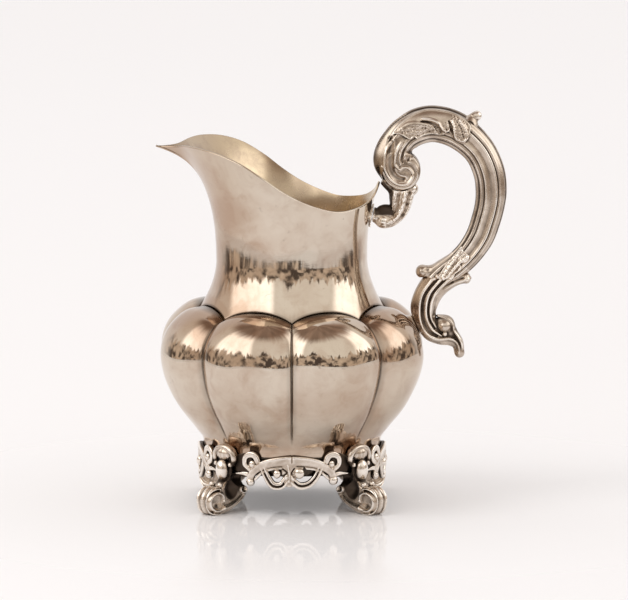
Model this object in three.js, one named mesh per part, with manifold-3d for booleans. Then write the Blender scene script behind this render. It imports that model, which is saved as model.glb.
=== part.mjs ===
// A silver cream jug in the rococo revival style. Millimetres, +Z up, spout towards -X,
// handle towards +X. The jug is soldered up from raised sheet (belly, neck), a base disc
// with a plain ring under it, and castings: four scroll feet, four openwork aprons and
// the parts of the handle. Nothing on it moves.
import * as THREE from "three";
import { LoftGeometry } from "three/addons/geometries/LoftGeometry.js";
import { mergeVertices } from "three/addons/utils/BufferGeometryUtils.js";
import Module from "manifold-3d";

const wasm = await Module();
wasm.setup();

// ---- driving dimensions ----
const SHEET = 0.7; // raised silver sheet
const GAP = 0.3; // solder space left between two pieces

const LOBES = 8;
const LOBE_ROUNDNESS = 0.85; // 0 flat panels, 1 half-circle lobes
const GROOVE_DROP = 3.4; // how far the shoulder seam dips at each groove

const WAIST_RADIUS = 26.6;
const WAIST_Z = 87;
const SHOULDER_Z = 72.2; // seam between belly and neck, at the middle of a lobe
const SKIRT_FLARE = 3.15; // how far the neck widens below the waist, over SKIRT_HEIGHT
const SKIRT_HEIGHT = 12;

const FOOT_RIM_RADIUS = 31.2; // bottom edge of the belly, and the ring below it
const DISC_TOP = 21.0;
const DISC_THICKNESS = 0.8;
const RING_BOTTOM = 14.5;

const APRON_INNER = FOOT_RIM_RADIUS + GAP;
const APRON_DEPTH = 1.5;

const STANDING_Z = 0.7; // level of the flats the jug stands on
const FOOT_WIDTH = 6.4;
const FOOT_VOLUTE_RADIUS = 5.2;
const FOOT_VOLUTE_REACH = 39.5; // from the jug's axis to the middle of the foot's volute
const FOOT_PAD_HALF = 1.6; // half length of each flat

const HANDLE_WALL = 1.2; // hollow cast halves
const HANDLE_FLATTEN = 0.8; // width across the jug over width in the handle's own plane
const VOLUTE_RADIUS = 7.0;
const VOLUTE_X = 38.2;
const VOLUTE_Z = 118.6;

const degrees = Math.PI / 180;

// ---- outlines, with only the points each shape needs ----
// Belly, from the shoulder seam down to the foot rim: radius and height on the crest of a
// lobe and at the bottom of a groove.
const BELLY_CREST = [
  [31.7, 71.9], [38.0, 70.8], [45.0, 64.6], [47.8, 56.0],
  [46.4, 46.6], [41.6, 36.5], [34.6, 28.0], [31.4, 23.8], [31.2, 21.3],
];
const BELLY_GROOVE = [
  [33.7, 68.5], [38.5, 66.5], [42.8, 60.8], [44.0, 55.5],
  [42.8, 47.0], [38.6, 37.0], [33.2, 28.0], [31.4, 23.8], [31.2, 21.3],
];

// Neck rim, from the handle (0 degrees) round to the tip of the spout (180 degrees):
// angle, radius and height.
const RIM = [
  [0, 31.0, 114.4], [12, 30.0, 110.8], [25, 29.2, 108.3], [42, 28.8, 106.8], [56, 28.7, 106.6],
  [70, 29.0, 108.2], [84, 30.2, 111.0], [96, 33.2, 114.8], [107, 36.2, 119.8], [119, 37.4, 124.4],
  [133, 37.6, 127.2], [150, 38.0, 128.3], [165, 38.4, 128.0], [180, 38.6, 126.8],
];
const BEAK_LENGTH = 9.2; // the pouring point stands this far out of the spout's round lip
const BEAK_HALF_ANGLE = 3.6;

// Handle centre line: x, z and half width, from the volute over the top to the drip leaf.
const HANDLE_LINE = [
  [36.2, 117.2, 4.8], [34.0, 121.5, 5.4], [34.9, 125.3, 5.7], [37.4, 128.6, 6.1],
  [40.6, 131.8, 6.1], [45.6, 134.2, 6.3], [50.4, 134.7, 6.3], [57.6, 132.5, 6.2],
  [65.4, 125.8, 5.6], [69.1, 117.9, 5.5], [69.9, 111.0, 5.4], [69.3, 105.5, 5.2],
  [67.9, 100.2, 5.1], [66.0, 95.0, 5.0], [62.4, 89.5, 4.7], [58.4, 85.4, 4.6],
  [54.0, 82.0, 4.7], [50.6, 78.6, 4.8], [47.6, 73.8, 4.8], [46.3, 69.5, 4.6],
  [47.2, 64.9, 3.8], [49.2, 60.9, 3.2], [52.4, 58.9, 2.4], [55.6, 58.4, 2.2],
  [58.1, 56.9, 2.0], [59.0, 53.7, 1.7],
];
const GRIP_END = 15; // place along HANDLE_LINE where the hollow grip stops
const KNUCKLE_END = 16.6;
const TAIL_START = 16.1;
const THUMB_PLACE = 7.28; // where the thumb knob stands
const KNUCKLE_FLOOR_Z = 80.2; // the knuckle's leaves end on this level, the tail just below

// J-shaped bracket under the volute: x, z and half width, from the volute to the neck.
const BRACKET_LINE = [
  [38.4, 115.0, 4.8], [38.4, 109.1, 4.3], [37.7, 105.2, 3.6],
  [35.6, 101.7, 2.8], [33.1, 100.4, 2.4], [29.75, 102.2, 2.5],
];

const NECK_PAD = 0.8; // thickness of the plate between bracket and neck

// ---- small tools ----
const silver = { color: 0xc8bdad, metalness: 1.0, roughness: 0.3 };
const castSilver = { color: 0xa79a88, metalness: 1.0, roughness: 0.42 };
const jug = new THREE.Group();

function addPart(name, geometry, look, turnDegrees = 0) {
  const mesh = new THREE.Mesh(outward(geometry), new THREE.MeshStandardMaterial(look));
  mesh.name = name;
  mesh.rotation.z = turnDegrees * degrees;
  jug.add(mesh);
}

// Turns a closed body right side out if its faces point inwards.
function outward(geometry) {
  const body = geometry.index ? geometry.toNonIndexed() : geometry;
  const position = body.getAttribute("position");
  const corner = [new THREE.Vector3(), new THREE.Vector3(), new THREE.Vector3()];
  let volume = 0;
  for (let i = 0; i < position.count; i += 3) {
    corner.forEach((point, k) => point.fromBufferAttribute(position, i + k));
    volume += corner[0].dot(corner[1].clone().cross(corner[2]));
  }
  if (volume < 0) {
    for (let i = 0; i < position.count; i += 3) {
      corner.forEach((point, k) => point.fromBufferAttribute(position, i + k));
      position.setXYZ(i + 1, corner[2].x, corner[2].y, corner[2].z);
      position.setXYZ(i + 2, corner[1].x, corner[1].y, corner[1].z);
    }
  }
  const result = new THREE.BufferGeometry();
  result.setAttribute("position", position);
  result.computeVertexNormals();
  return result;
}

function toSolid(geometry) {
  const welded = mergeVertices(stripped(outward(geometry)), 1e-4);
  return new wasm.Manifold(new wasm.Mesh({
    numProp: 3,
    vertProperties: new Float32Array(welded.getAttribute("position").array),
    triVerts: new Uint32Array(welded.index.array),
  }));
}

function stripped(geometry) {
  geometry.deleteAttribute("normal");
  geometry.deleteAttribute("uv");
  return geometry;
}

function toGeometry(solid) {
  const mesh = solid.getMesh();
  const geometry = new THREE.BufferGeometry();
  geometry.setAttribute("position", new THREE.BufferAttribute(mesh.vertProperties, 3));
  geometry.setIndex(new THREE.BufferAttribute(mesh.triVerts, 1));
  return geometry;
}

function joined(...geometries) {
  return geometries.map(toSolid).reduce((sum, solid) => sum.add(solid));
}

// A smooth function through the points (xs[i], ys[i]).
function smoothThrough(xs, ys) {
  const last = xs.length - 1;
  const slope = xs.map((_, i) => {
    const before = Math.max(0, i - 1);
    const after = Math.min(last, i + 1);
    return (ys[after] - ys[before]) / (xs[after] - xs[before]);
  });
  return (x) => {
    const inside = THREE.MathUtils.clamp(x, xs[0], xs[last]);
    let i = 0;
    while (i < last - 1 && inside > xs[i + 1]) i += 1;
    const step = xs[i + 1] - xs[i];
    const t = (inside - xs[i]) / step;
    const ease = t * t * (3 - 2 * t);
    const leaving = t * (1 - t) * (1 - t) * step * slope[i];
    const arriving = t * t * (t - 1) * step * slope[i + 1];
    return ys[i] * (1 - ease) + ys[i + 1] * ease + leaving + arriving;
  };
}

// Points along a smooth outline of [first, second] pairs.
function outlinePoints(pairs, count) {
  const curve = new THREE.SplineCurve(pairs.map(([a, b]) => new THREE.Vector2(a, b)));
  return curve.getPoints(count - 1);
}

// Closes an open (radius, height) outline into a sheet of even thickness on its inner side.
function sheetSection(outline, thickness) {
  const inner = outline.map((point, i) => {
    const before = outline[Math.max(0, i - 1)];
    const after = outline[Math.min(outline.length - 1, i + 1)];
    const along = after.clone().sub(before).normalize();
    const side = new THREE.Vector2(along.y, -along.x);
    if (side.x > 0 || (side.x === 0 && side.y > 0)) side.negate();
    return point.clone().addScaledVector(side, thickness);
  });
  return outline.concat(inner.reverse());
}

function aroundAxis(angle, section) {
  const cos = Math.cos(angle);
  const sin = Math.sin(angle);
  return section.map((point) => new THREE.Vector3(point.x * cos, point.x * sin, point.y));
}

// Skins a row of cross sections into a closed body with flat ends. All the sections are
// turned to run counterclockwise, seen looking back from the far end.
function loft(sections) {
  const middle = (section) => section
    .reduce((sum, point) => sum.add(point), new THREE.Vector3())
    .divideScalar(section.length);
  const ahead = middle(sections[1]).sub(middle(sections[0]));
  const facing = sections[0].reduce((sum, point, i, all) => {
    const next = all[(i + 1) % all.length];
    return sum.add(point.clone().cross(next));
  }, new THREE.Vector3());
  const ordered = facing.dot(ahead) > 0 ? sections : sections.map((section) => section.slice().reverse());
  return new LoftGeometry(ordered, { capStart: true, capEnd: true });
}

function axialRing(innerRadius, outerRadius, bottom, top) {
  const corners = [
    [innerRadius, bottom], [outerRadius, bottom], [outerRadius, top], [innerRadius, top],
    [innerRadius, bottom],
  ];
  const profile = corners.map(([r, z]) => new THREE.Vector2(r, z));
  return new THREE.LatheGeometry(profile, 48).rotateX(Math.PI / 2);
}

function ball(radius, x, y, z) {
  return new THREE.SphereGeometry(radius, 12, 8).translate(x, y, z);
}

// ---- belly: raised bowl of eight lobes ----
// 1 on the crest of a lobe, 0 at the bottom of a groove, as the arc of a circle between.
function lobeHeight(angle) {
  const turn = ((angle / (2 * Math.PI)) * LOBES + 100) % 1;
  const across = LOBE_ROUNDNESS * (2 * turn - 1);
  const floor = Math.sqrt(1 - LOBE_ROUNDNESS * LOBE_ROUNDNESS);
  return (Math.sqrt(1 - across * across) - floor) / (1 - floor);
}

function bellySection(angle, rows) {
  const crest = outlinePoints(BELLY_CREST, rows);
  const groove = outlinePoints(BELLY_GROOVE, rows);
  const height = lobeHeight(angle);
  const outline = groove.map((point, i) => point.clone().lerp(crest[i], height));
  return sheetSection(outline, SHEET);
}

function belly() {
  const stepsPerLobe = 6;
  const rows = 13;
  const sections = [];
  for (let i = 0; i <= LOBES * stepsPerLobe; i += 1) {
    const angle = (i / (LOBES * stepsPerLobe)) * 2 * Math.PI;
    sections.push(aroundAxis(angle, bellySection(angle, rows)));
  }
  return new LoftGeometry(sections);
}

// ---- neck: waisted collar with a sweeping rim and a pouring lip ----
const rimRadius = smoothThrough(RIM.map(([angle]) => angle), RIM.map(([, radius]) => radius));
const rimHeight = smoothThrough(RIM.map(([angle]) => angle), RIM.map(([, , height]) => height));

function neckRadius(z, angleDegrees) {
  if (z < WAIST_Z) return WAIST_RADIUS + SKIRT_FLARE * ((WAIST_Z - z) / SKIRT_HEIGHT) ** 1.8;
  const towardsSpout = Math.abs(angleDegrees) / 180;
  const rise = (z - WAIST_Z) / (rimHeight(Math.abs(angleDegrees)) - WAIST_Z);
  const flare = rise ** (2.7 - 0.3 * towardsSpout);
  const fromTip = 180 - Math.abs(angleDegrees);
  const beak = BEAK_LENGTH * Math.exp(-((fromTip / BEAK_HALF_ANGLE) ** 0.8)) * rise ** 11;
  return WAIST_RADIUS + (rimRadius(Math.abs(angleDegrees)) - WAIST_RADIUS) * flare + beak;
}

function neckSection(angleDegrees, rows) {
  const bottom = SHOULDER_Z - GROOVE_DROP * (1 - lobeHeight(angleDegrees * degrees));
  const top = rimHeight(Math.abs(angleDegrees));
  const outline = [];
  for (let i = 0; i < rows; i += 1) {
    const share = 1 - (1 - i / (rows - 1)) ** 1.3;
    const z = bottom + (top - bottom) * share;
    outline.push(new THREE.Vector2(neckRadius(z, angleDegrees), z));
  }
  return sheetSection(outline, SHEET);
}

function neck() {
  const halfTurn = [];
  for (let angle = 0; angle < 165; angle += 7.5) halfTurn.push(angle);
  halfTurn.push(165, 170, 174, 176.5, 178.2, 179.3);
  const angles = [
    ...halfTurn, 180, ...halfTurn.slice(1).reverse().map((angle) => -angle), 0,
  ];
  const sections = angles.map((angle) => aroundAxis(angle * degrees, neckSection(angle, 13)));
  return new LoftGeometry(sections);
}

// ---- base: flat disc closing the belly, and the plain ring under it ----
function baseDisc() {
  const middle = DISC_TOP - DISC_THICKNESS / 2;
  const disc = new THREE.CylinderGeometry(FOOT_RIM_RADIUS, FOOT_RIM_RADIUS, DISC_THICKNESS, 48);
  return disc.rotateX(Math.PI / 2).translate(0, 0, middle);
}

function baseRing() {
  const top = DISC_TOP - DISC_THICKNESS - GAP;
  return axialRing(FOOT_RIM_RADIUS - 1.0, FOOT_RIM_RADIUS, RING_BOTTOM, top);
}

// The ring and lower belly grown by the solder space, to cut the castings that lie on them.
function lowerBodyWithSolder() {
  const cutTop = 34;
  const wall = outlinePoints(BELLY_CREST, 25)
    .filter((point) => point.y < cutTop)
    .map((point) => [point.x + GAP * 1.1, point.y]);
  const corners = [
    [0, cutTop], [wall[0][0], cutTop], ...wall,
    [APRON_INNER, RING_BOTTOM - GAP], [0, RING_BOTTOM - GAP],
  ];
  const profile = corners.map(([r, z]) => new THREE.Vector2(r, z));
  return toSolid(new THREE.LatheGeometry(profile, 48).rotateX(Math.PI / 2));
}

// ---- aprons: openwork castings bent round the ring ----
// A flat bar that follows a line drawn on the wall of the ring. Each line point is
// [distance round the ring from the apron's middle, height, half width].
function barOnRing(line, count) {
  const path = new THREE.CatmullRomCurve3(line.map(([a, z, w]) => new THREE.Vector3(a, z, w)));
  const stations = path.getPoints(count - 1);
  const sections = stations.map((station, i) => {
    const before = stations[Math.max(0, i - 1)];
    const after = stations[Math.min(stations.length - 1, i + 1)];
    const along = new THREE.Vector2(after.x - before.x, after.y - before.y).normalize();
    const corners = [[1, 0], [1, 1], [-1, 1], [-1, 0]];
    return corners.map(([side, out]) => pointOnRing(
      station.x - along.y * side * station.z,
      station.y + along.x * side * station.z,
      out * APRON_DEPTH,
    ));
  });
  return loft(sections);
}

function pointOnRing(around, z, out) {
  const angle = around / (APRON_INNER + APRON_DEPTH / 2);
  const radius = APRON_INNER + out;
  return new THREE.Vector3(radius * Math.sin(angle), -radius * Math.cos(angle), z);
}

function knobOnRing(radius, around, z) {
  const middle = pointOnRing(around, z, APRON_DEPTH / 2);
  return new THREE.SphereGeometry(radius, 10, 6).translate(middle.x, middle.y, middle.z);
}

// Built on the jug's left side; the other three are turned copies.
function apron() {
  const arch = [
    [-15.4, 12.8, 1.0], [-13.9, 15.8, 1.15], [-11.2, 17.9, 1.3], [-8.0, 19.3, 1.45], [0, 20.3, 1.6],
    [8.0, 19.4, 1.45], [11.2, 17.9, 1.3], [14.0, 15.8, 1.2], [15.0, 13.4, 1.1],
  ];
  const leftLoop = [
    [-10.2, 17.6, 1.0], [-8.6, 14.2, 1.1], [-6.6, 11.4, 1.2], [-3.8, 11.2, 1.2], [-2.0, 13.6, 1.2],
  ];
  const rightLoop = [
    [10.0, 17.5, 0.9], [8.4, 14.2, 1.0], [5.8, 11.6, 1.1], [2.6, 11.2, 1.1], [0.4, 13.2, 1.2],
  ];
  const leaf = [[-1.0, 19.2, 2.0], [-0.7, 16.4, 2.6], [-0.8, 13.2, 1.7]];
  const curlLeft = [
    [-14.8, 16.6, 0.8], [-16.9, 19.0, 0.8], [-15.9, 21.6, 0.8], [-13.5, 21.7, 0.8], [-11.6, 18.6, 0.8],
  ];
  const curlRight = curlLeft.map(([a, z, w]) => [-a, z, w]);
  const spikeLeft = [[-15.0, 14.8, 1.1], [-17.4, 15.2, 0.8], [-19.4, 15.0, 0.4]];
  const spikeRight = spikeLeft.map(([a, z, w]) => [-a, z, w]);
  return joined(
    barOnRing(arch, 15),
    barOnRing(leftLoop, 8),
    barOnRing(rightLoop, 8),
    barOnRing(leaf, 4),
    barOnRing(curlLeft, 7),
    barOnRing(curlRight, 7),
    barOnRing(spikeLeft, 4),
    barOnRing(spikeRight, 4),
    knobOnRing(1.2, -14.6, 12.2),
    knobOnRing(1.5, 15.0, 12.6),
  );
}

// ---- feet: cast scrolls on the four diagonals ----
// Outline in the foot's own upright plane: distance from the jug's axis, and height.
function footOutline() {
  const shape = new THREE.Shape();
  const reach = FOOT_VOLUTE_REACH;
  const padAngle = Math.asin(FOOT_PAD_HALF / FOOT_VOLUTE_RADIUS);
  const voluteZ = STANDING_Z + FOOT_VOLUTE_RADIUS * Math.cos(padAngle);
  const ringSide = APRON_INNER;
  shape.moveTo(ringSide, 24.0);
  shape.lineTo(ringSide, 12.2);
  shape.bezierCurveTo(30.8, 9.8, 29.6, 9.9, 28.4, 10.2); // hollow between leg and lower curl
  shape.bezierCurveTo(26.4, 10.6, 25.0, 8.8, 25.6, 7.2); // lower curl
  shape.bezierCurveTo(27.0, 4.4, 32.4, 1.6, reach - FOOT_PAD_HALF, STANDING_Z);
  shape.lineTo(reach + FOOT_PAD_HALF, STANDING_Z);
  shape.absarc(reach, voluteZ, FOOT_VOLUTE_RADIUS, -Math.PI / 2 + padAngle, 115 * degrees, false);
  shape.bezierCurveTo(35.2, 11.2, 33.0, 12.4, 32.9, 14.4); // back up to the leg
  shape.lineTo(33.6, 22.6);
  shape.lineTo(ringSide, 24.0);
  return shape;
}

function foot() {
  const settings = { depth: FOOT_WIDTH, bevelEnabled: false, curveSegments: 10 };
  const scroll = new THREE.ExtrudeGeometry(footOutline(), settings);
  scroll.translate(0, 0, -FOOT_WIDTH / 2).rotateX(Math.PI / 2);
  const bud = new THREE.SphereGeometry(1, 14, 10).scale(1.95, 2.0, 3.6).translate(34.5, 0, 16.0);
  const hood = new THREE.SphereGeometry(1, 16, 10).scale(2.5, 4.6, 2.9).translate(33.1, 0, 21.6);
  return joined(scroll, bud, hood).subtract(lowerBodyWithSolder());
}

// ---- handle ----
const handlePath = new THREE.CatmullRomCurve3(
  HANDLE_LINE.map(([x, z]) => new THREE.Vector3(x, 0, z)),
  false,
  "centripetal",
);
const handleHalfWidth = smoothThrough(HANDLE_LINE.map((_, i) => i), HANDLE_LINE.map((point) => point[2]));

// Place, outward side direction and half width at a place counted in HANDLE_LINE points.
function handleAt(place) {
  const t = THREE.MathUtils.clamp(place / (HANDLE_LINE.length - 1), 0, 1);
  const along = handlePath.getTangent(t);
  return {
    point: handlePath.getPoint(t),
    side: new THREE.Vector3(-along.z, 0, along.x),
    half: handleHalfWidth(place),
  };
}

function ovalSection(station, half, corners) {
  const section = [];
  for (let i = 0; i < corners; i += 1) {
    const angle = (i / corners) * 2 * Math.PI;
    const point = station.point.clone().addScaledVector(station.side, half * Math.cos(angle));
    point.y = half * HANDLE_FLATTEN * Math.sin(angle);
    section.push(point);
  }
  return section;
}

// One hollow half: the outer arc, then back along the inner one. sign +1 or -1 picks the side.
function halfShellSection(station, sign) {
  const corners = 8;
  const arc = (half) => {
    const points = [];
    for (let i = 0; i <= corners; i += 1) {
      const angle = (i / corners) * Math.PI;
      const point = station.point.clone().addScaledVector(station.side, half * Math.cos(angle));
      point.y = sign * (GAP / 2 + half * HANDLE_FLATTEN * Math.sin(angle));
      points.push(point);
    }
    return points;
  };
  return arc(station.half).concat(arc(station.half - HANDLE_WALL).reverse());
}

function placesBetween(start, end, count) {
  return Array.from({ length: count }, (_, i) => start + ((end - start) * i) / (count - 1));
}

function gripHalf(sign) {
  const sections = placesBetween(0, GRIP_END, 34).map((place) => halfShellSection(handleAt(place), sign));
  const shell = loft(sections);
  const thickness = HANDLE_FLATTEN * 5.2;
  const volute = new THREE.CylinderGeometry(VOLUTE_RADIUS, VOLUTE_RADIUS, thickness, 32);
  volute.translate(VOLUTE_X, sign * (GAP / 2 + thickness / 2), VOLUTE_Z);
  return joined(shell, volute);
}

// Oval sections along a line of [x, z, half width] points in the handle's plane.
function sectionsInPlane(line, spans, corners) {
  const path = new THREE.CatmullRomCurve3(line.map(([x, z, half]) => new THREE.Vector3(x, half, z)));
  const stations = path.getPoints(spans);
  return stations.map((station, i) => {
    const before = stations[Math.max(0, i - 1)];
    const after = stations[Math.min(stations.length - 1, i + 1)];
    const along = new THREE.Vector3(after.x - before.x, 0, after.z - before.z).normalize();
    const place = {
      point: new THREE.Vector3(station.x, 0, station.z),
      side: new THREE.Vector3(-along.z, 0, along.x),
    };
    return ovalSection(place, station.y, corners);
  });
}

// Tapering arm through [x, z, half width] points, with a ball at its end.
function arm(line, ballRadius) {
  const [x, z] = line[line.length - 1];
  return joined(
    loft(sectionsInPlane(line, 6, 12)),
    ball(ballRadius, x, 0, z),
  );
}

// Leaf-wrapped knuckle: a collar, a plug that enters the hollow grip, and the inner knob.
function knuckle() {
  const collar = placesBetween(GRIP_END + 0.08, KNUCKLE_END, 7).map((place) => {
    const station = handleAt(place);
    return ovalSection(station, station.half + 0.3, 16);
  });
  const plug = placesBetween(GRIP_END - 0.7, GRIP_END + 0.4, 4).map((place) => {
    const station = handleAt(place);
    return ovalSection(station, station.half - HANDLE_WALL - 0.6, 16);
  });
  const knobArm = arm([[53.5, 83.2, 2.6], [49.8, 83.3, 2.3], [46.4, 82.9, 1.9]], 2.4);
  return joined(loft(collar), loft(plug))
    .add(knobArm)
    .trimByPlane([0, 0, 1], KNUCKLE_FLOOR_Z);
}

// Tail: lower scroll with the outer spur, the curl at its foot and the drip leaf.
function tail() {
  const sections = placesBetween(TAIL_START, HANDLE_LINE.length - 1, 26).map((place) => {
    const station = handleAt(place);
    return ovalSection(station, station.half, 14);
  });
  const spur = arm([[51.0, 74.6, 2.0], [54.6, 77.0, 1.8], [58.4, 78.2, 1.3], [62.0, 79.0, 1.1]], 1.3);
  const trunk = toSolid(loft(sections)).trimByPlane([0, 0, -1], GAP - KNUCKLE_FLOOR_Z);
  const curl = new THREE.CylinderGeometry(2.6, 2.6, 5.0, 20).translate(53.2, 0, 63.2);
  return trunk.add(spur).add(toSolid(curl)).add(toSolid(ball(1.7, 59.0, 0, 53.7)));
}

function bracket() {
  const body = toSolid(loft(sectionsInPlane(BRACKET_LINE, 12, 14)));
  const seat = new THREE.CylinderGeometry(VOLUTE_RADIUS + GAP, VOLUTE_RADIUS + GAP, 12, 32);
  const padFace = placesBetween(97, 109, 7).map((z) => [neckRadius(z, 0) + NECK_PAD + 2 * GAP, z]);
  const corners = [[0, 97], ...padFace, [0, 109]].map(([r, z]) => new THREE.Vector2(r, z));
  return body
    .subtract(toSolid(seat.translate(VOLUTE_X, 0, VOLUTE_Z)))
    .subtract(toSolid(new THREE.LatheGeometry(corners, 64).rotateX(Math.PI / 2)));
}

// Thin plate soldered to the back of the neck, shaped to it.
function neckPad() {
  const middle = 102.8;
  const halfHeight = 4.2;
  const halfAngle = 8;
  const sections = placesBetween(-halfAngle, halfAngle, 7).map((angle) => {
    const reach = halfHeight * Math.sqrt(1 - (angle / (halfAngle + 2)) ** 2);
    const heights = placesBetween(middle - reach, middle + reach, 5);
    const inner = heights.map((z) => new THREE.Vector2(neckRadius(z, angle) + GAP, z));
    const outer = inner.map((point) => new THREE.Vector2(point.x + NECK_PAD, point.y)).reverse();
    return aroundAxis(angle * degrees, inner.concat(outer));
  });
  return loft(sections);
}

// Saddle that fills the groove between the belly and the tail of the handle.
function bellyPad() {
  const grooveRadius = smoothThrough(
    BELLY_GROOVE.map((point) => point[1]).reverse(),
    BELLY_GROOVE.map((point) => point[0]).reverse(),
  );
  const tailEdge = smoothThrough([59.5, 62.0, 64.5, 67.5], [45.4, 44.3, 43.4, 41.9]);
  const halfWidth = 1.8;
  const sections = placesBetween(60.0, 67.2, 7).map((z) => {
    const near = grooveRadius(z) + GAP + 0.15;
    const far = tailEdge(z) - GAP;
    return [
      new THREE.Vector3(near, 0, z),
      new THREE.Vector3(near + 1.25, halfWidth, z),
      new THREE.Vector3(far, halfWidth, z),
      new THREE.Vector3(far, -halfWidth, z),
      new THREE.Vector3(near + 1.25, -halfWidth, z),
    ];
  });
  return loft(sections);
}

// Knob standing on the outside of the grip, where the thumb rests.
function thumbSpur() {
  const profile = [[0, 0], [1.5, 0], [1.15, 0.6], [1.1, 1.3], [1.6, 2.2], [1.65, 3.0], [1.2, 4.1], [0, 4.5]];
  const knob = new THREE.LatheGeometry(profile.map(([r, h]) => new THREE.Vector2(r, h)), 14);
  const station = handleAt(THUMB_PLACE);
  const seat = station.point.clone().addScaledVector(station.side, station.half + GAP);
  knob.applyQuaternion(new THREE.Quaternion().setFromUnitVectors(new THREE.Vector3(0, 1, 0), station.side));
  return knob.translate(seat.x, seat.y, seat.z);
}

// ---- assembly ----
addPart("belly", belly(), silver);
addPart("neck", neck(), silver);
addPart("base_disc", baseDisc(), silver);
addPart("base_ring", baseRing(), silver);

const apronGeometry = toGeometry(apron());
const apronPlaces = { apron_left: 0, apron_handle: 90, apron_right: 180, apron_spout: 270 };
for (const [name, turn] of Object.entries(apronPlaces)) addPart(name, apronGeometry, castSilver, turn);

const footGeometry = toGeometry(foot());
const footPlaces = {
  foot_handle_right: 45,
  foot_spout_right: 135,
  foot_spout_left: 225,
  foot_handle_left: 315,
};
for (const [name, turn] of Object.entries(footPlaces)) addPart(name, footGeometry, castSilver, turn);

addPart("handle_grip_left", toGeometry(gripHalf(-1)), castSilver);
addPart("handle_grip_right", toGeometry(gripHalf(1)), castSilver);
addPart("handle_knuckle", toGeometry(knuckle()), castSilver);
addPart("handle_tail", toGeometry(tail()), castSilver);
addPart("handle_bracket", toGeometry(bracket()), castSilver);
addPart("thumb_spur", thumbSpur(), castSilver);
addPart("neck_pad", neckPad(), castSilver);
addPart("belly_pad", bellyPad(), castSilver);

// The shared origin is the middle of the footprint, at the level the feet stand on.
const bounds = new THREE.Box3().setFromObject(jug);
const middle = bounds.getCenter(new THREE.Vector3());
jug.position.set(-middle.x, -middle.y, -bounds.min.z);

export default jug;
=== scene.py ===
import math

import bmesh
import bpy
import numpy as np
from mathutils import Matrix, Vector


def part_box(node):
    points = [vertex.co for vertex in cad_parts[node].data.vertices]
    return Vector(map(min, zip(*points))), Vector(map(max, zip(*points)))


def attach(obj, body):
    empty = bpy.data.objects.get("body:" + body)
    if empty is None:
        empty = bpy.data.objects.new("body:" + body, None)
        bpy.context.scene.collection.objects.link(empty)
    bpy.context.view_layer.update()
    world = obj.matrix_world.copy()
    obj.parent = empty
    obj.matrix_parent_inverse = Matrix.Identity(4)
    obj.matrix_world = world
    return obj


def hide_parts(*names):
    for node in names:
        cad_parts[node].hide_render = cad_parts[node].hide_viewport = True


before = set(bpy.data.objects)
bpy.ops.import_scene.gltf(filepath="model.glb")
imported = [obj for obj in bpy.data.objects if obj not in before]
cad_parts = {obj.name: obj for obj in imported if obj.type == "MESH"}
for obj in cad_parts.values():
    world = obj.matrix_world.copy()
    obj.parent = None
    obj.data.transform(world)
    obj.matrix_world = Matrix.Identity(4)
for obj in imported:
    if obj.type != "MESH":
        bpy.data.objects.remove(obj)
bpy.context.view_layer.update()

import openvdb
from mathutils import Vector

# Everything below is worked out in millimetres round the jug's own axis, and to_row() puts it
# into the row frame, in metres. The base disc of the CAD model gives the axis and the level.
MM = 0.001
DISC_TOP = 21.0
disc_low, disc_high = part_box("base_disc")
AXIS_X = (disc_low.x + disc_high.x) / 2
LEVEL_Z = disc_high.z - DISC_TOP * MM

# ---- driving dimensions, in millimetres ----
SHEET = 0.7
LOBES = 8
LOBE_ROUNDNESS = 0.85  # towards 0 for a shallow arc, 1 for a half circle
GROOVE_DROP = 3.4  # how far the neck's lower edge dips from a crest into a groove
SHOULDER_Z = 72.2
WAIST_RADIUS = 26.6
WAIST_Z = 87.0
SKIRT_FLARE = 3.15
SKIRT_HEIGHT = 12.0
BEAK_LENGTH = 9.2
BEAK_HALF_ANGLE = 3.6  # degrees
FOOT_RIM_RADIUS = 31.2
DISC_THICKNESS = 0.8
RING_WALL = 1.0
RING_BOTTOM = 14.5
RING_TOP = 20.2
APRON_INNER = 31.5
APRON_DEPTH = 1.7
STANDING_Z = 0.7
FOOT_HALF = 3.2
FLATTEN = 0.8  # how thick the handle is across its plane, as a share of its width in it
VOLUTE = (38.2, 118.6)
VOLUTE_RADIUS = 7.0
VOLUTE_HALF = 4.3
KNUCKLE_FLOOR_Z = 80.2
HALF_SEAM = 0.02  # half the gap between the two halves of the grip
HOLLOW_REACH = 0.55  # how far round a point the metal counts, when telling hollows from ridges

# Belly profile on the crest of a lobe and in a groove: [radius, height].
CREST = [
    (31.7, 71.9), (38.0, 70.8), (45.0, 64.6), (47.8, 56.0), (46.4, 46.6),
    (41.6, 36.5), (34.6, 28.0), (31.4, 23.8), (31.2, 21.0),
]
GROOVE = [
    (33.7, 68.5), (38.5, 66.5), (42.8, 60.8), (44.0, 55.5), (42.8, 47.0),
    (38.6, 37.0), (33.2, 28.0), (31.4, 23.8), (31.2, 21.0),
]
# Rim: [degrees from the handle, radius, height].
RIM = [
    (0, 31.0, 114.4), (12, 30.0, 110.8), (25, 29.2, 108.3), (42, 28.8, 106.8), (56, 28.7, 106.6),
    (70, 29.0, 108.2), (84, 30.2, 111.0), (96, 33.2, 114.8), (107, 36.2, 119.8), (119, 37.4, 124.4),
    (133, 37.6, 127.2), (150, 38.0, 128.3), (165, 38.4, 128.0), (180, 38.6, 126.8),
]
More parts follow.
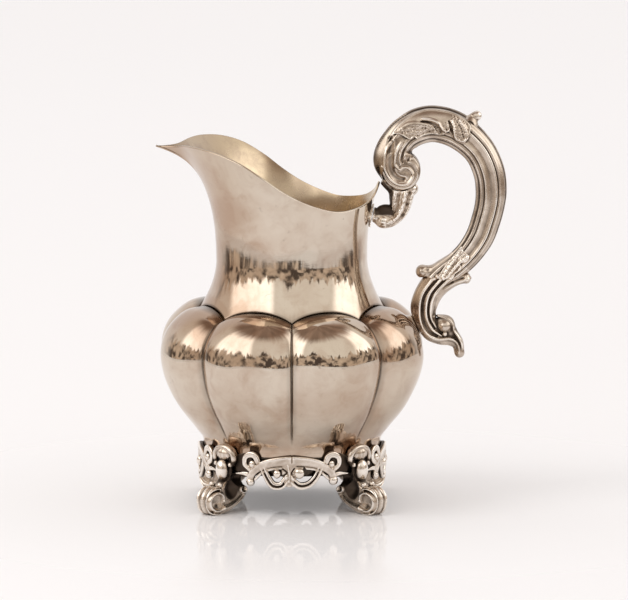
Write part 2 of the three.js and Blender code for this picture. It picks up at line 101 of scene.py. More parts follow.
# Middle line of the handle from the volute to the drip: [x, z, half width]. The places that follow
# it are counted in its points.
HANDLE = [
    (36.2, 117.2, 4.8), (34.0, 121.5, 5.4), (34.9, 125.3, 5.7), (37.4, 128.6, 6.1),
    (40.6, 131.8, 6.1), (45.6, 134.2, 6.3), (50.4, 134.7, 6.3), (57.6, 132.5, 6.2),
    (65.4, 125.8, 5.6), (69.1, 117.9, 5.5), (69.9, 111.0, 5.4), (69.3, 105.5, 5.2),
    (67.9, 100.2, 5.1), (66.0, 95.0, 5.0), (62.4, 89.5, 4.7), (58.4, 85.4, 4.6),
    (54.0, 82.0, 4.7), (50.6, 78.6, 4.8), (47.6, 73.8, 4.8), (46.3, 69.5, 4.6),
    (47.2, 64.9, 3.8), (49.2, 60.9, 3.2), (52.4, 58.9, 2.4), (55.6, 58.4, 2.2),
    (58.1, 56.9, 2.0), (59.0, 53.7, 1.7),
]
HANDLE_DETAIL = 12  # steps of the smooth line from each point to the next
FLUTES_START = 2.6
GRIP_END = 15
TAIL_START = 16.1
THUMB_PLACE = 7.28
# Middle line of the bracket from the volute to the neck: [x, z, half width].
BRACKET = [
    (38.4, 115.0, 4.8), (38.4, 109.1, 4.3), (37.7, 105.2, 3.6),
    (35.6, 101.7, 2.8), (33.1, 100.4, 2.4), (29.75, 102.2, 2.5),
]


# ---- curves and plane distances ----
def curve(points, per_span=10):
    """A smooth line through the points, centripetal in the first two columns."""
    points = np.asarray(points, float)
    padded = np.vstack([2 * points[0] - points[1], points, 2 * points[-1] - points[-2]])
    steps = np.sqrt(np.linalg.norm(np.diff(padded[:, :2], axis=0), axis=1)).clip(1e-4)[:, None]
    share = np.linspace(0, 1, per_span, endpoint=False)[:, None]
    line = []
    for i in range(1, len(padded) - 2):
        before, here, there, after = padded[i - 1:i + 3]
        d0, d1, d2 = steps[i - 1], steps[i], steps[i + 1]
        leave = ((here - before) / d0 - (there - before) / (d0 + d1) + (there - here) / d1) * d1
        arrive = ((there - here) / d1 - (after - here) / (d1 + d2) + (after - there) / d2) * d1
        line.append(
            (2 * share**3 - 3 * share**2 + 1) * here + (share**3 - 2 * share**2 + share) * leave
            + (3 * share**2 - 2 * share**3) * there + (share**3 - share**2) * arrive
        )
    return np.vstack(line + [points[-1:]])


def follow(line, a, b):
    """Where plane points (a, b) lie along a line: travel, signed side distance, distance, width."""
    shape = np.broadcast(a, b).shape
    nearest = np.full(shape, 1e9)
    travel, side, width = np.zeros(shape), np.zeros(shape), np.zeros(shape)
    gone = 0.0
    for start, end in zip(line[:-1], line[1:]):
        along = end[:2] - start[:2]
        length = math.hypot(*along)
        along = along / length
        da, db = a - start[0], b - start[1]
        reach = np.clip(da * along[0] + db * along[1], 0, length)
        away = np.hypot(da - reach * along[0], db - reach * along[1])
        closer = away < nearest
        nearest = np.where(closer, away, nearest)
        travel = np.where(closer, gone + reach, travel)
        side = np.where(closer, db * along[0] - da * along[1], side)
        if len(start) > 2:
            width = np.where(closer, start[2] + (end[2] - start[2]) * reach / length, width)
        gone += length
    return travel, side, nearest, width


def outline_distance(corners, a, b):
    """Signed distance to a closed outline in the plane, below zero inside."""
    corners = np.asarray(corners, float)
    nearest = np.full(np.broadcast(a, b).shape, 1e9)
    inside = np.zeros(nearest.shape, bool)
    for start, end in zip(corners, np.roll(corners, -1, axis=0)):
        da, db = end - start
        reach = np.clip(((a - start[0]) * da + (b - start[1]) * db) / (da * da + db * db + 1e-12), 0, 1)
        away = np.hypot(a - start[0] - reach * da, b - start[1] - reach * db)
        nearest = np.minimum(nearest, away)
        crosses = (start[1] > b) != (end[1] > b)
        inside ^= crosses & (a < start[0] + (b - start[1]) * da / (db if db else 1e-12))
    return np.where(inside, -nearest, nearest)


def step_up(value, low, high):
    """Smooth step from 0 at low to 1 at high."""
    share = np.clip((value - low) / (high - low), 0, 1)
    return share * share * (3 - 2 * share)


def band(value, rise, fall):
    """1 between two soft edges, each a pair of where it begins and ends, and 0 outside them."""
    return step_up(value, *rise) * (1 - step_up(value, *fall))


def hump(value):
    """A soft ridge one high and about two wide, level at its feet."""
    share = np.clip(1 - (value / 1.2) ** 2, 0, 1)
    return share * share


def join(a, b, blend):
    """Union of two fields with a fillet."""
    mix = np.clip(0.5 + 0.5 * (b - a) / blend, 0, 1)
    return b + (a - b) * mix - blend * mix * (1 - mix)


def meet(a, b, blend):
    """Intersection of two fields with a rounded edge."""
    return -join(-a, -b, blend)


def strokes(table, a, b):
    """Height of chased strokes, each [height, points of a, b and half width]; below 0 is sunk."""
    total = 0
    for height, points in table:
        _, _, away, width = follow(curve(points, 6), a, b)
        total = total + height * hump(away / width)
    return total


def even_strokes(ground, table, a, b, per_span):
    """A ground height with strokes of even width on it, each [height, points, half width]."""
    for height, points, half in table:
        ground = ground + height * hump(follow(curve(points, per_span), a, b)[2] / half)
    return ground


def mottle(a, b, size, seed=0.0):
    """Fine uneven ripple between about -1 and 1, for matted ground and uneven casting."""
    a, b = a / size, b / size
    total = 0
    for i, turn in enumerate((0.3, 1.4, 2.3, 3.7, 5.1)):
        pitch = 1.9 + 0.37 * i
        total = total + np.sin(pitch * (a * math.cos(turn) + b * math.sin(turn)) + seed + 2.1 * i)
    return total / 2.6


def blotches(a, b, cell, seed):
    """Irregular smooth blotches between -1 and 1, about one cell across."""
    size = 256
    lattice = np.random.default_rng(seed).uniform(-1, 1, (size, size))
    a, b = a / cell, b / cell
    low_a, low_b = np.floor(a).astype(int), np.floor(b).astype(int)
    share_a, share_b = step_up(a - low_a, 0, 1), step_up(b - low_b, 0, 1)

    def row(index):
        """Values between the lattice points of one row."""
        here, there = lattice[low_a % size, index % size], lattice[(low_a + 1) % size, index % size]
        return here * (1 - share_a) + there * share_a

    return row(low_b) * (1 - share_b) + row(low_b + 1) * share_b


# ---- solids from fields ----
class Samples:
    """A box of sample points: x, y and z broadcast together."""

    def __init__(self, low, high, step):
        self.low, self.step = np.array(low, float), step
        counts = [int(math.ceil((h - l) / step)) + 1 for l, h in zip(low, high)]
        axes = [l + step * np.arange(n) for l, n in zip(low, counts)]
        self.x = axes[0][:, None, None]
        self.y = axes[1][None, :, None]
        self.z = axes[2][None, None, :]
        self.plane_x, self.plane_z = axes[0][:, None], axes[2][None, :]

    def ball(self, centre, radii, mirrored=False):
        """Field of an ellipsoid or, mirrored, of a pair on both sides of the middle plane."""
        places = (self.x, np.abs(self.y) if mirrored else self.y, self.z)
        parts = [(v - c) / r for v, c, r in zip(places, centre, radii)]
        level = np.sqrt(sum(p * p for p in parts)) + 1e-6
        slope = np.sqrt(sum((p / r) ** 2 for p, r in zip(parts, radii))) / level + 1e-6
        return (level - 1) / slope

    def arm(self, line, flat=1.0):
        """Field of a tapering arm along [x, z, radius] in the middle plane, flat times as deep."""
        _, _, away, width = follow(curve(line, 8), self.plane_x, self.plane_z)
        return np.sqrt(away[:, None, :] ** 2 + (self.y / flat) ** 2) - width[:, None, :]

    def surface(self, field):
        """Points, faces and how deep each point lies in a hollow, from a signed distance field."""
        field = np.ascontiguousarray(field, dtype=np.float32)
        grid = openvdb.FloatGrid(1.0)
        grid.copyFromArray(field)
        points, _, quads = grid.convertToPolygons(isovalue=0.0, adaptivity=0.0)
        filled = np.clip(0.5 - field / self.step, 0, 1)
        radius = max(1, int(round(HOLLOW_REACH / self.step)))
        for _ in range(2):
            for axis in range(3):
                filled = box_blur(filled, radius, axis)
        hollow = (sample(filled, points) - 0.5) * 2
        return points * self.step + self.low, quads[:, ::-1], hollow


def box_blur(values, radius, axis):
    """Running mean along one axis."""
    values = np.moveaxis(values, axis, 0)
    edge = [(radius + 1, radius)] + [(0, 0)] * (values.ndim - 1)
    total = np.cumsum(np.pad(values, edge, mode="edge"), axis=0, dtype=np.float32)
    size = 2 * radius + 1
    return np.moveaxis((total[size:] - total[:-size]) / size, 0, axis)


def sample(values, points):
    """Trilinear lookup of a grid at points given in cells."""
    cell = np.clip(np.floor(points).astype(int), 0, np.array(values.shape) - 2)
    part = points - cell
    result = 0
    for corner in np.ndindex(2, 2, 2):
        weight = np.prod(np.where(corner, part, 1 - part), axis=1)
        index = cell + corner
        result = result + weight * values[index[:, 0], index[:, 1], index[:, 2]]
    return result


def oval(side, y, half, flat):
    """Field of an oval bar: side and y are across it, half and half*flat its half axes."""
    thick = half * flat
    level = np.sqrt((side / half) ** 2 + (y / thick) ** 2) + 1e-6
    slope = np.sqrt((side / half**2) ** 2 + (y / thick**2) ** 2) / level + 1e-6
    return (level - 1) / slope


# ---- turning shapes into Blender pieces ----
def to_row(points):
    """Millimetres round the jug's axis, as metres in the row frame."""
    return np.asarray(points, float) * MM + [AXIS_X, 0, LEVEL_Z]


def turned(points, degrees):
    """The points turned about the jug's axis."""
    angle = math.radians(degrees)
    c, s = math.cos(angle), math.sin(angle)
    x, y = points[:, 0], points[:, 1]
    return np.column_stack([x * c - y * s, x * s + y * c, points[:, 2]])


def new_object(name, data):
    """An object linked into the scene."""
    made = bpy.data.objects.new(name, data)
    bpy.context.scene.collection.objects.link(made)
    return made


def add_piece(name, points, faces, slot, nodes, **attributes):
    """One mesh object made from millimetre points, riding on the jug in place of CAD nodes."""
    mesh = bpy.data.meshes.new(name)
    faces = np.asarray(faces)
    mesh.vertices.add(len(points))
    mesh.vertices.foreach_set("co", to_row(points).astype(np.float32).ravel())
    size = faces.shape[1]
    mesh.loops.add(faces.size)
    mesh.loops.foreach_set("vertex_index", faces.astype(np.int32).ravel())
    mesh.polygons.add(len(faces))
    mesh.polygons.foreach_set("loop_start", np.arange(0, faces.size, size, dtype=np.int32))
    mesh.update(calc_edges=True)
    mesh.shade_smooth()
    for label, values in attributes.items():
        layer = mesh.attributes.new(label, "FLOAT", "POINT")
        layer.data.foreach_set("value", np.asarray(values, np.float32))
    mesh.materials.append(MATERIALS[slot])
    piece = new_object(name, mesh)
    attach(piece, "root")
    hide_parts(*nodes)
    return piece


def add_casting(name, points, faces, nodes, hollow):
    """A cast piece; hollow above 0 is black, on sunk places and on painted shade; below 0 raised and rubbed
    bright.
    """
    return add_piece(name, points, faces, "cast_silver", nodes, hollow=hollow)


def grid_faces(rows, columns):
    """Quads of a rows x columns grid of points, closed along the columns."""
    row, column = np.meshgrid(np.arange(rows - 1), np.arange(columns), indexing="ij")
    beside = (column + 1) % columns
    corners = [row * columns + column, row * columns + beside,
               (row + 1) * columns + beside, (row + 1) * columns + column]
    return np.stack(corners, axis=-1).reshape(-1, 4)


# ---- materials ----
class Paint:
    """The node tree of one material. Its methods make nodes and hand back output sockets."""

    def __init__(self, name):
        self.material = bpy.data.materials.new(name)
        self.material.use_nodes = True
        self.tree = self.material.node_tree
        self.shader = self.tree.nodes["Principled BSDF"]

    def put(self, value, socket):
        """Links a socket to another one, or sets its own value."""
        if isinstance(value, bpy.types.NodeSocket):
            self.tree.links.new(value, socket)
        else:
            socket.default_value = value

    def node(self, kind, inputs, output=0, **settings):
        """A node with settings by name and inputs by name or number, each a value or a socket."""
        made = self.tree.nodes.new(kind)
        for setting, value in settings.items():
            setattr(made, setting, value)
        for place, value in inputs.items():
            self.put(value, made.inputs[place])
        return made.outputs[output]

    def place(self):
        """Where a point lies, in the object's own metres."""
        return self.node("ShaderNodeTexCoord", {}, "Object")

    def attribute(self, name):
        """A value that add_piece stored on every point of the mesh."""
        return self.node("ShaderNodeAttribute", {}, "Fac", attribute_name=name)

    def scale(self, value, factor, plus=0.0, clamp=False):
        """value * factor + plus."""
        inputs = {0: value, 1: factor, 2: plus}
        return self.node("ShaderNodeMath", inputs, operation="MULTIPLY_ADD", use_clamp=clamp)

    def mix(self, share, a, b):
        """Colour a going over into colour b."""
        return self.node("ShaderNodeMix", {0: share, 6: a, 7: b}, 2, data_type="RGBA")

    def ramp(self, value, low, high):
        """Smooth 0 to 1 between low and high."""
        inputs = {"Value": value, "From Min": low, "From Max": high}
        return self.node("ShaderNodeMapRange", inputs, interpolation_type="SMOOTHSTEP")

    def noise(self, place, scale, detail=3.0, roughness=0.5, distortion=0.0):
        """Cloudy noise, scale times per metre."""
        inputs = {"Vector": place, "Scale": scale, "Detail": detail,
                  "Roughness": roughness, "Distortion": distortion}
        return self.node("ShaderNodeTexNoise", inputs, "Fac")

    def metal(self, base, rough, height, strength, distance):
        """Ends the tree as metal with this colour, roughness and fine relief."""
        relief = {"Strength": strength, "Distance": distance, "Height": height}
        self.put(base, self.shader.inputs["Base Color"])
        self.shader.inputs["Metallic"].default_value = 1.0
        self.put(rough, self.shader.inputs["Roughness"])
        self.put(self.node("ShaderNodeBump", relief), self.shader.inputs["Normal"])
        return self.material


def colour(red, green, blue):
    """An opaque colour."""
    return (red, green, blue, 1.0)


def raised_silver():
    """Sheet silver: warm thin tarnish in blotches, polishing scratches, painted shade in creases, gilt
    inside.
    """
    paint = Paint("raised_silver")
    place = paint.place()
    tarnish, seam, inside = (paint.attribute(name) for name in ("tarnish", "seam", "inside"))
    blotch = paint.ramp(paint.noise(place, 38.0, 4.0, 0.55, 0.4), 0.38, 0.68)
    film = paint.ramp(paint.noise(place, 14.0, 3.0, 0.5, 0.2), 0.35, 0.7)
    speck = paint.ramp(paint.noise(place, 420.0, 3.0, 0.6), 0.62, 0.8)
    cloud = paint.ramp(paint.noise(place, 130.0, 4.0, 0.6, 0.6), 0.42, 0.72)

    clean, warm = colour(0.70, 0.62, 0.525), colour(0.58, 0.48, 0.37)
    brown, oxide_and_shade, dust = colour(0.46, 0.335, 0.25), colour(0.035, 0.027, 0.021), colour(0.30, 0.24, 0.19)
    stain = paint.scale(tarnish, paint.scale(blotch, 0.6, 0.4))
    stain = paint.scale(blotch, 0.46, stain)
    stain = paint.scale(cloud, 0.34, stain, clamp=True)
    outside = paint.mix(stain, paint.mix(film, clean, warm), brown)
    # Near black for the real joints and for painted shade: the groove creases, the base disc and the ring
    # behind the aprons.
    outside = paint.mix(paint.scale(seam, 0.95), outside, oxide_and_shade)
    outside = paint.mix(paint.scale(speck, 0.35), outside, dust)

    gold, dull_gold, dark_gold = (
        colour(0.76, 0.625, 0.43), colour(0.50, 0.40, 0.285), colour(0.36, 0.275, 0.215))
    browned = paint.scale(tarnish, 0.9, 0.12)
    browned = paint.scale(cloud, 0.3, browned, clamp=True)
    gilt = paint.mix(browned, paint.mix(blotch, gold, dull_gold), dark_gold)

    rough = paint.scale(blotch, 0.045, 0.042)
    for share, value in ((0.05, cloud), (0.18, speck), (0.2, seam), (0.17, inside)):
        rough = paint.scale(value, share, rough)
    brushed = paint.node("ShaderNodeMapping", {"Vector": place, "Scale": (260.0, 260.0, 2600.0)})
    scratches = paint.scale(paint.noise(brushed, 1.0, 2.0, 0.6), 0.02)
    height = paint.scale(paint.noise(place, 95.0, 2.0, 0.45), 0.6, scratches)
    return paint.metal(paint.mix(inside, outside, gilt), rough, height, 0.22, 0.0004)


def cast_silver():
    """Cast and chased silver: black in hollows and painted shade, dull on slopes, bright where rubbed."""
    paint = Paint("cast_silver")
    place = paint.place()
    grain = paint.noise(place, 900.0, 4.0, 0.6)
    patch = paint.noise(place, 130.0, 3.0, 0.55, 0.5)
    uneven = paint.scale(paint.scale(patch, 1.0, -0.5), 0.22, paint.attribute("hollow"))
    uneven = paint.scale(paint.scale(grain, 1.0, -0.5), 0.10, uneven)
    rubbed = paint.ramp(paint.scale(uneven, -1.0), 0.04, 0.38)
    # The hollow attribute also carries painted shade in the foot webs, the bracket's web and the apron backs,
    # so this black is partly painted shade and partly oxide in the hollows.
    oxide_and_shade_share = paint.scale(paint.ramp(uneven, 0.05, 0.42), 0.94)

    clean, brown = colour(0.65, 0.56, 0.475), colour(0.44, 0.36, 0.29)
    bright, oxide_and_shade = colour(0.97, 0.91, 0.84), colour(0.050, 0.034, 0.025)
    base = paint.mix(rubbed, paint.mix(paint.ramp(patch, 0.35, 0.7), clean, brown), bright)
    base = paint.mix(oxide_and_shade_share, base, oxide_and_shade)
    rough = paint.scale(oxide_and_shade_share, 0.22, paint.scale(rubbed, -0.05, 0.215))
    rough = paint.scale(grain, 0.08, rough)
    height = paint.scale(patch, 0.7, paint.scale(grain, 0.12))
    return paint.metal(base, rough, height, 0.4, 0.00025)


MATERIALS = {"raised_silver": raised_silver(), "cast_silver": cast_silver()}


# ---- belly and neck ----
def lobe_height(angle):
    """1 on the crest of a lobe, 0 in the groove; angle in radians."""
    across = (angle * LOBES / (2 * math.pi)) % 1.0 * 2 - 1
    flat = math.sqrt(1 - LOBE_ROUNDNESS**2)
    return (np.sqrt(1 - (LOBE_ROUNDNESS * across) ** 2) - flat) / (1 - flat)


def lobe_angles(per_lobe):
    """Angles all round, closer together near each groove."""
    share = np.linspace(-1, 1, per_lobe, endpoint=False)
    across = np.sin(share * math.pi / 2) * 0.75 + share * 0.25
    lobes = np.arange(LOBES)[:, None]
    return ((lobes + (across[None, :] + 1) / 2) * 2 * math.pi / LOBES).ravel()


def sheet_shell(name, outer, nodes, seam, tarnish):
    """Closed sheet of metal: outer is rows x columns x 3, wrapped round, thickened inwards."""
    rows, columns, _ = outer.shape
    across = np.roll(outer, -1, axis=1) - np.roll(outer, 1, axis=1)
    down = np.gradient(outer, axis=0)
    normal = np.cross(across, down)
    normal /= np.linalg.norm(normal, axis=2, keepdims=True)
    radial = outer * [1, 1, 0]
    normal *= np.sign(np.sum(normal * radial, axis=2, keepdims=True))
    inner = outer - normal * SHEET
    lip = 0.5 * (outer + inner)
    first = lip[:1] + (outer[:1] - outer[1:2]) * 0.25
    last = lip[-1:] + (outer[-1:] - outer[-2:-1]) * 0.25
    loop = np.concatenate([outer, last, inner[::-1], first])
    points = loop.reshape(-1, 3)
    faces = grid_faces(len(loop) + 1, columns) % len(points)
    inside = np.zeros(loop.shape[:2])
    inside[rows + 1:2 * rows + 1] = 1.0
    seam = np.concatenate([seam, seam[-1:], np.zeros_like(seam), seam[:1]])
    tarnish = np.clip(tarnish, 0, 1)
    tarnish = np.concatenate([tarnish, tarnish[-1:], tarnish[::-1], tarnish[:1]])
    add_piece(name, points, faces, "raised_silver", nodes,
              inside=inside.ravel(), seam=seam.ravel(), tarnish=tarnish.ravel())


def belly():
    """Lobed bowl, with hammered unevenness and a creased line in every groove."""
    crest, groove = curve(CREST, 14), curve(GROOVE, 14)
    angles = lobe_angles(46)
    height = lobe_height(angles)
    height = 1 - np.sqrt((1 - height) ** 2 + 0.0006)
    profile = groove[:, None, :] + (crest - groove)[:, None, :] * height[None, :, None]
    radius, z = profile[..., 0], profile[..., 1]
    around = np.broadcast_to(angles, radius.shape)
    lobe = np.floor(angles * LOBES / (2 * math.pi))
    dent = 0.10 * np.sin(z * 0.21 + 2.3 * lobe) + 0.07 * np.sin(around * 13 + z * 0.33)
    radius = radius + dent * step_up(z, 24, 34) * (1 - step_up(z, 64, 70))
    across = (around * LOBES / (2 * math.pi)) % 1.0
    edge = np.minimum(across, 1 - across) * 2 * math.pi / LOBES * radius
    crease = hump(edge / 0.5) * step_up(z, 24.5, 30)
    radius = radius - 0.30 * hump(edge / 0.5) * step_up(z, 24.5, 28)
    # Painted shade: each groove's crease, and a little of its shoulders, is painted dark as shade. The line
    # at the top edge marks the real joint with the neck.
    seam = np.maximum(crease * 0.95, hump((edge - 0.4) / 1.6) * 0.25 * step_up(z, 24.5, 34))
    seam = np.maximum(seam, 0.8 * hump((z - z[0]) / 0.5))
    tarnish = 0.55 * step_up(z, 61, 69) + 0.35 * hump((edge - 1.5) / 5.0) + 0.5 * (1 - step_up(z, 24, 31))
    tarnish = tarnish + 0.35 * hump((np.cos(around) - 0.85) / 0.35)
    points = np.stack([radius * np.cos(around), radius * np.sin(around), z], axis=-1)
    sheet_shell("belly_skin", points, ["belly"], seam, tarnish)


def neck_radius(z, degrees):
    """Outer radius of the neck at a height, degrees measured from the handle side."""
    degrees = np.abs(degrees)
    rim_radius = np.interp(degrees, RIM_LINE[:, 0], RIM_LINE[:, 1])
    rim_height = np.interp(degrees, RIM_LINE[:, 0], RIM_LINE[:, 2])
    skirt = WAIST_RADIUS + SKIRT_FLARE * (np.clip(WAIST_Z - z, 0, None) / SKIRT_HEIGHT) ** 1.8
    rise = np.clip((z - WAIST_Z) / (rim_height - WAIST_Z), 0, None)
    flare = rise ** (2.7 - 0.3 * degrees / 180)
    beak = BEAK_LENGTH * np.exp(-(((180 - degrees) / BEAK_HALF_ANGLE) ** 0.8)) * rise**11
    return skirt + (rim_radius - WAIST_RADIUS) * flare + beak


def smooth_rim():
    """The rim table as a fine smooth line over 0 to 180 degrees, level at both ends."""
    table = np.array(RIM, float)
    before = table[1:4][::-1] * [-1, 1, 1]
    after = table[-4:-1][::-1] * [-1, 1, 1] + [360, 0, 0]
    mirrored = np.vstack([before, table, after])
    fine = np.arange(0, 180.01, 0.5)
    columns = [fine]
    for value in (1, 2):
        line = curve(mirrored[:, [0, value]], 12)
        columns.append(np.interp(fine, line[:, 0], line[:, 1]))
    return np.column_stack(columns)


RIM_LINE = smooth_rim()


def neck():
    """Waisted collar with the sweeping rim, its columns closer together towards the beak."""
    to_beak = 180 - 20 * (np.linspace(1, 0, 40)[:-1]) ** 1.8
    half_turn = np.concatenate([np.arange(0, 160, 1.25), to_beak])
    angles = np.concatenate([half_turn, [180.0], -half_turn[1:][::-1]])
    bottom = SHOULDER_Z - GROOVE_DROP * (1 - lobe_height(np.radians(angles)))
    top = np.interp(np.abs(angles), RIM_LINE[:, 0], RIM_LINE[:, 2])
    share = 1 - (1 - np.linspace(0, 1, 110)) ** 1.3
    z = bottom[None, :] + (top - bottom)[None, :] * share[:, None]
    around = np.broadcast_to(angles, z.shape)
    radius = neck_radius(z, around)
    turn = np.radians(around)
    wave = 0.07 * np.sin(3 * turn + z * 0.11) + 0.05 * np.sin(7 * turn - z * 0.17 + 1.0)
    radius = radius + wave * step_up(z, 72, 80) * (1 - step_up(z, top - 12, top - 2))
    seam = hump((z - bottom) / 0.7) * 0.7
    tarnish = 0.5 * (1 - step_up(z, bottom + 0.5, bottom + 4)) + 0.5 * step_up(np.abs(around), 95, 150)
    tarnish = tarnish + 0.3 * hump((np.abs(around) - 30) / 22) * step_up(z, 74, 84)
    points = np.stack([radius * np.cos(turn), radius * np.sin(turn), z], axis=-1)
    sheet_shell("neck_skin", points[::-1], ["neck"], seam[::-1], tarnish[::-1])


def base_disc():
    """Flat disc under the belly, with its edge rounded."""
    bottom = DISC_TOP - DISC_THICKNESS
    flat = (0.01, 12, 24, 30.9)
    profile = [(radius, DISC_TOP) for radius in flat]
    profile += [(FOOT_RIM_RADIUS, DISC_TOP - 0.25), (FOOT_RIM_RADIUS, bottom + 0.25)]
    profile += [(radius, bottom) for radius in flat[::-1]]
    lathed("base_disc_skin", profile, ["base_disc"], closed=False)


def base_ring():
    """Plain upright collar under the disc, with its edges rounded."""
    inner, outer = FOOT_RIM_RADIUS - RING_WALL, FOOT_RIM_RADIUS
    low, high, middle = RING_BOTTOM + 0.3, RING_TOP - 0.2, 17.2
    profile = [(outer - 0.2, RING_TOP), (outer, high), (outer, middle), (outer, low),
               (outer - 0.3, RING_BOTTOM), (inner + 0.3, RING_BOTTOM), (inner, low),
               (inner, middle), (inner, high), (inner + 0.2, RING_TOP)]
    lathed("base_ring_skin", profile, ["base_ring"], closed=True)


def lathed(name, profile, nodes, closed):
    """A profile of [radius, height] turned about the axis, closed on itself or at the axis."""
    angles = np.linspace(0, 2 * math.pi, 180, endpoint=False)
    rows = [[(r * math.cos(a), r * math.sin(a), z) for a in angles] for r, z in profile]
    points = np.array(rows).reshape(-1, 3)
    faces = grid_faces(len(profile) + int(closed), len(angles)) % len(points)
    zero = np.zeros(len(points))
    # Painted shade: the whole disc and ring take the darkest value, nearly black, for the shade behind the
    # aprons.
    piece = add_piece(name, points, faces[:, ::-1], "raised_silver", nodes,
                      inside=zero, seam=zero + 1.0, tarnish=zero)
    if not closed:
        close_poles(piece)


def close_poles(piece):
    """Pulls the innermost ring of a lathed solid into one point at the axis, top and bottom."""
    shape = bmesh.new()
    shape.from_mesh(piece.data)
    bmesh.ops.remove_doubles(shape, verts=shape.verts, dist=0.05 * MM)
    bmesh.ops.recalc_face_normals(shape, faces=shape.faces)
    shape.to_mesh(piece.data)
    shape.free()


# ---- handle ----
HANDLE_LINE = curve(HANDLE, HANDLE_DETAIL)
FLUTES = [  # [degrees round the section, 0 on the side and 90 outside; half width; height]
    (-64, 7.0, 0.26), (-51, 5.5, -0.30), (-38, 9.0, 0.32), (-27, 5.0, -0.28), (-18, 7.5, 0.30),
    (0, 16.0, -0.52), (21, 6.5, 0.34), (29, 4.5, -0.36), (37, 7.5, 0.32), (54, 15.0, 0.24),
    (72, 5.0, -0.22), (84, 7.0, 0.16),
]
# The strokes of each leaf and scroll: [height, points of x, z and half width]. Those of the volute
# run into it from under the leaf on the shoulder.
VOLUTE_STROKES = [
    (0.60, [(35.2, 129.8, .7), (33.7, 127.2, .7), (32.7, 124.8, .7), (32.3, 122.2, .7), (32.5, 119.7, .7),
            (33.3, 117.4, .7), (34.8, 115.3, .7), (36.8, 114.1, .7), (38.7, 113.8, .7), (40.6, 114.3, .7),
            (42.0, 115.9, .7), (42.4, 117.6, .7), (41.0, 119.6, .7), (39.3, 120.0, .65), (37.9, 119.2, .6)]),
    (0.35, [(31.6, 120.0, .6), (32.2, 117.2, .6), (34.0, 114.5, .6), (36.8, 112.8, .6), (39.4, 112.5, .6),
            (42.0, 113.6, .6), (43.7, 116.0, .6), (44.0, 118.4, .6), (43.0, 120.8, .6), (41.0, 122.0, .5)]),
    (-0.95, [(34.6, 130.0, 1.2), (34.4, 127.0, 1.4), (34.4, 123.5, 1.5), (34.4, 120.2, 1.5),
             (35.4, 117.6, 1.4), (37.2, 116.1, 1.2), (39.2, 115.8, .9)]),
    (0.30, [(38.9, 117.0, 2.1), (39.6, 117.1, 2.1)]),
    (0.55, [(38.6, 129.0, .7), (36.9, 126.1, .65), (36.1, 123.0, .65), (36.3, 120.8, .65),
            (37.4, 119.4, .6)]),
    (0.42, [(40.2, 128.6, .6), (38.5, 126.1, .6), (37.7, 123.0, .6), (38.0, 121.2, .55)]),
    (-0.30, [(41.0, 128.4, .5), (39.4, 126.0, .5), (38.6, 123.4, .5), (38.8, 121.6, .4)]),
    (0.35, [(41.8, 128.0, .7), (40.2, 125.8, .7), (39.5, 123.4, .6)]),
    (-0.55, [(42.8, 125.0, .8), (41.6, 123.9, .8), (40.7, 122.4, .6)]),
]
LEAF = [  # outline of the acanthus leaf over the shoulder of the grip, in the handle's plane
    (33.9, 129.4), (35.0, 131.4), (37.0, 132.0), (38.4, 131.5), (40.5, 130.3), (41.6, 130.0), (42.8, 131.0),
    (43.8, 130.1), (46.4, 131.4), (48.9, 131.8), (52.6, 131.6), (54.9, 132.6), (56.4, 131.2), (57.6, 129.4),
    (60.1, 128.5), (61.2, 129.3), (62.1, 130.8), (62.5, 132.6), (62.8, 134.6), (60.4, 137.0), (56.4, 139.2),
    (52.0, 140.2), (47.5, 140.4), (43.8, 139.4), (40.4, 137.4), (37.4, 135.0), (35.3, 132.4),
]
LEAF_STROKES = [  # slits (below zero) and veins on the leaf
    (-0.65, [(45.2, 136.3, .3), (47.9, 136.0, .5), (49.9, 135.0, .8), (51.2, 133.6, 1.0), (52.0, 132.2, .9)]),
    (0.60, [(45.8, 137.2, .5), (48.6, 137.0, .6), (51.2, 135.9, .7), (52.6, 134.0, .7), (54.0, 132.8, .6),
            (55.1, 133.4, .5)]),
    (-0.55, [(55.0, 136.4, .4), (55.6, 134.8, .6), (55.9, 133.2, .7), (56.2, 131.6, .6)]),
    (0.50, [(56.1, 136.6, .5), (56.8, 134.2, .6), (57.0, 132.0, .6), (57.8, 130.2, .6), (59.8, 129.4, .6),
            (61.2, 130.2, .5)]),
    (-0.30, [(57.8, 136.2, .5), (59.2, 133.6, .6), (60.2, 131.0, .5)]),
    (0.35, [(58.8, 136.6, .6), (60.6, 134.0, .6), (61.4, 131.6, .5)]),
    (0.45, [(34.2, 129.9, .6), (35.3, 131.2, .6), (37.0, 131.6, .6), (38.5, 131.0, .6), (40.6, 129.9, .6),
            (41.7, 129.7, .6), (42.7, 130.6, .6), (43.8, 129.8, .5)]),
    (0.22, [(37.8, 133.6, .8), (41.0, 135.4, .9), (44.2, 135.6, .9), (47.6, 134.8, .8)]),
    (-0.25, [(38.6, 132.4, .5), (42.6, 133.4, .6), (46.8, 134.0, .5)]),
    (-0.25, [(44.2, 131.2, .5), (46.8, 132.4, .6), (49.6, 133.2, .5)]),
]
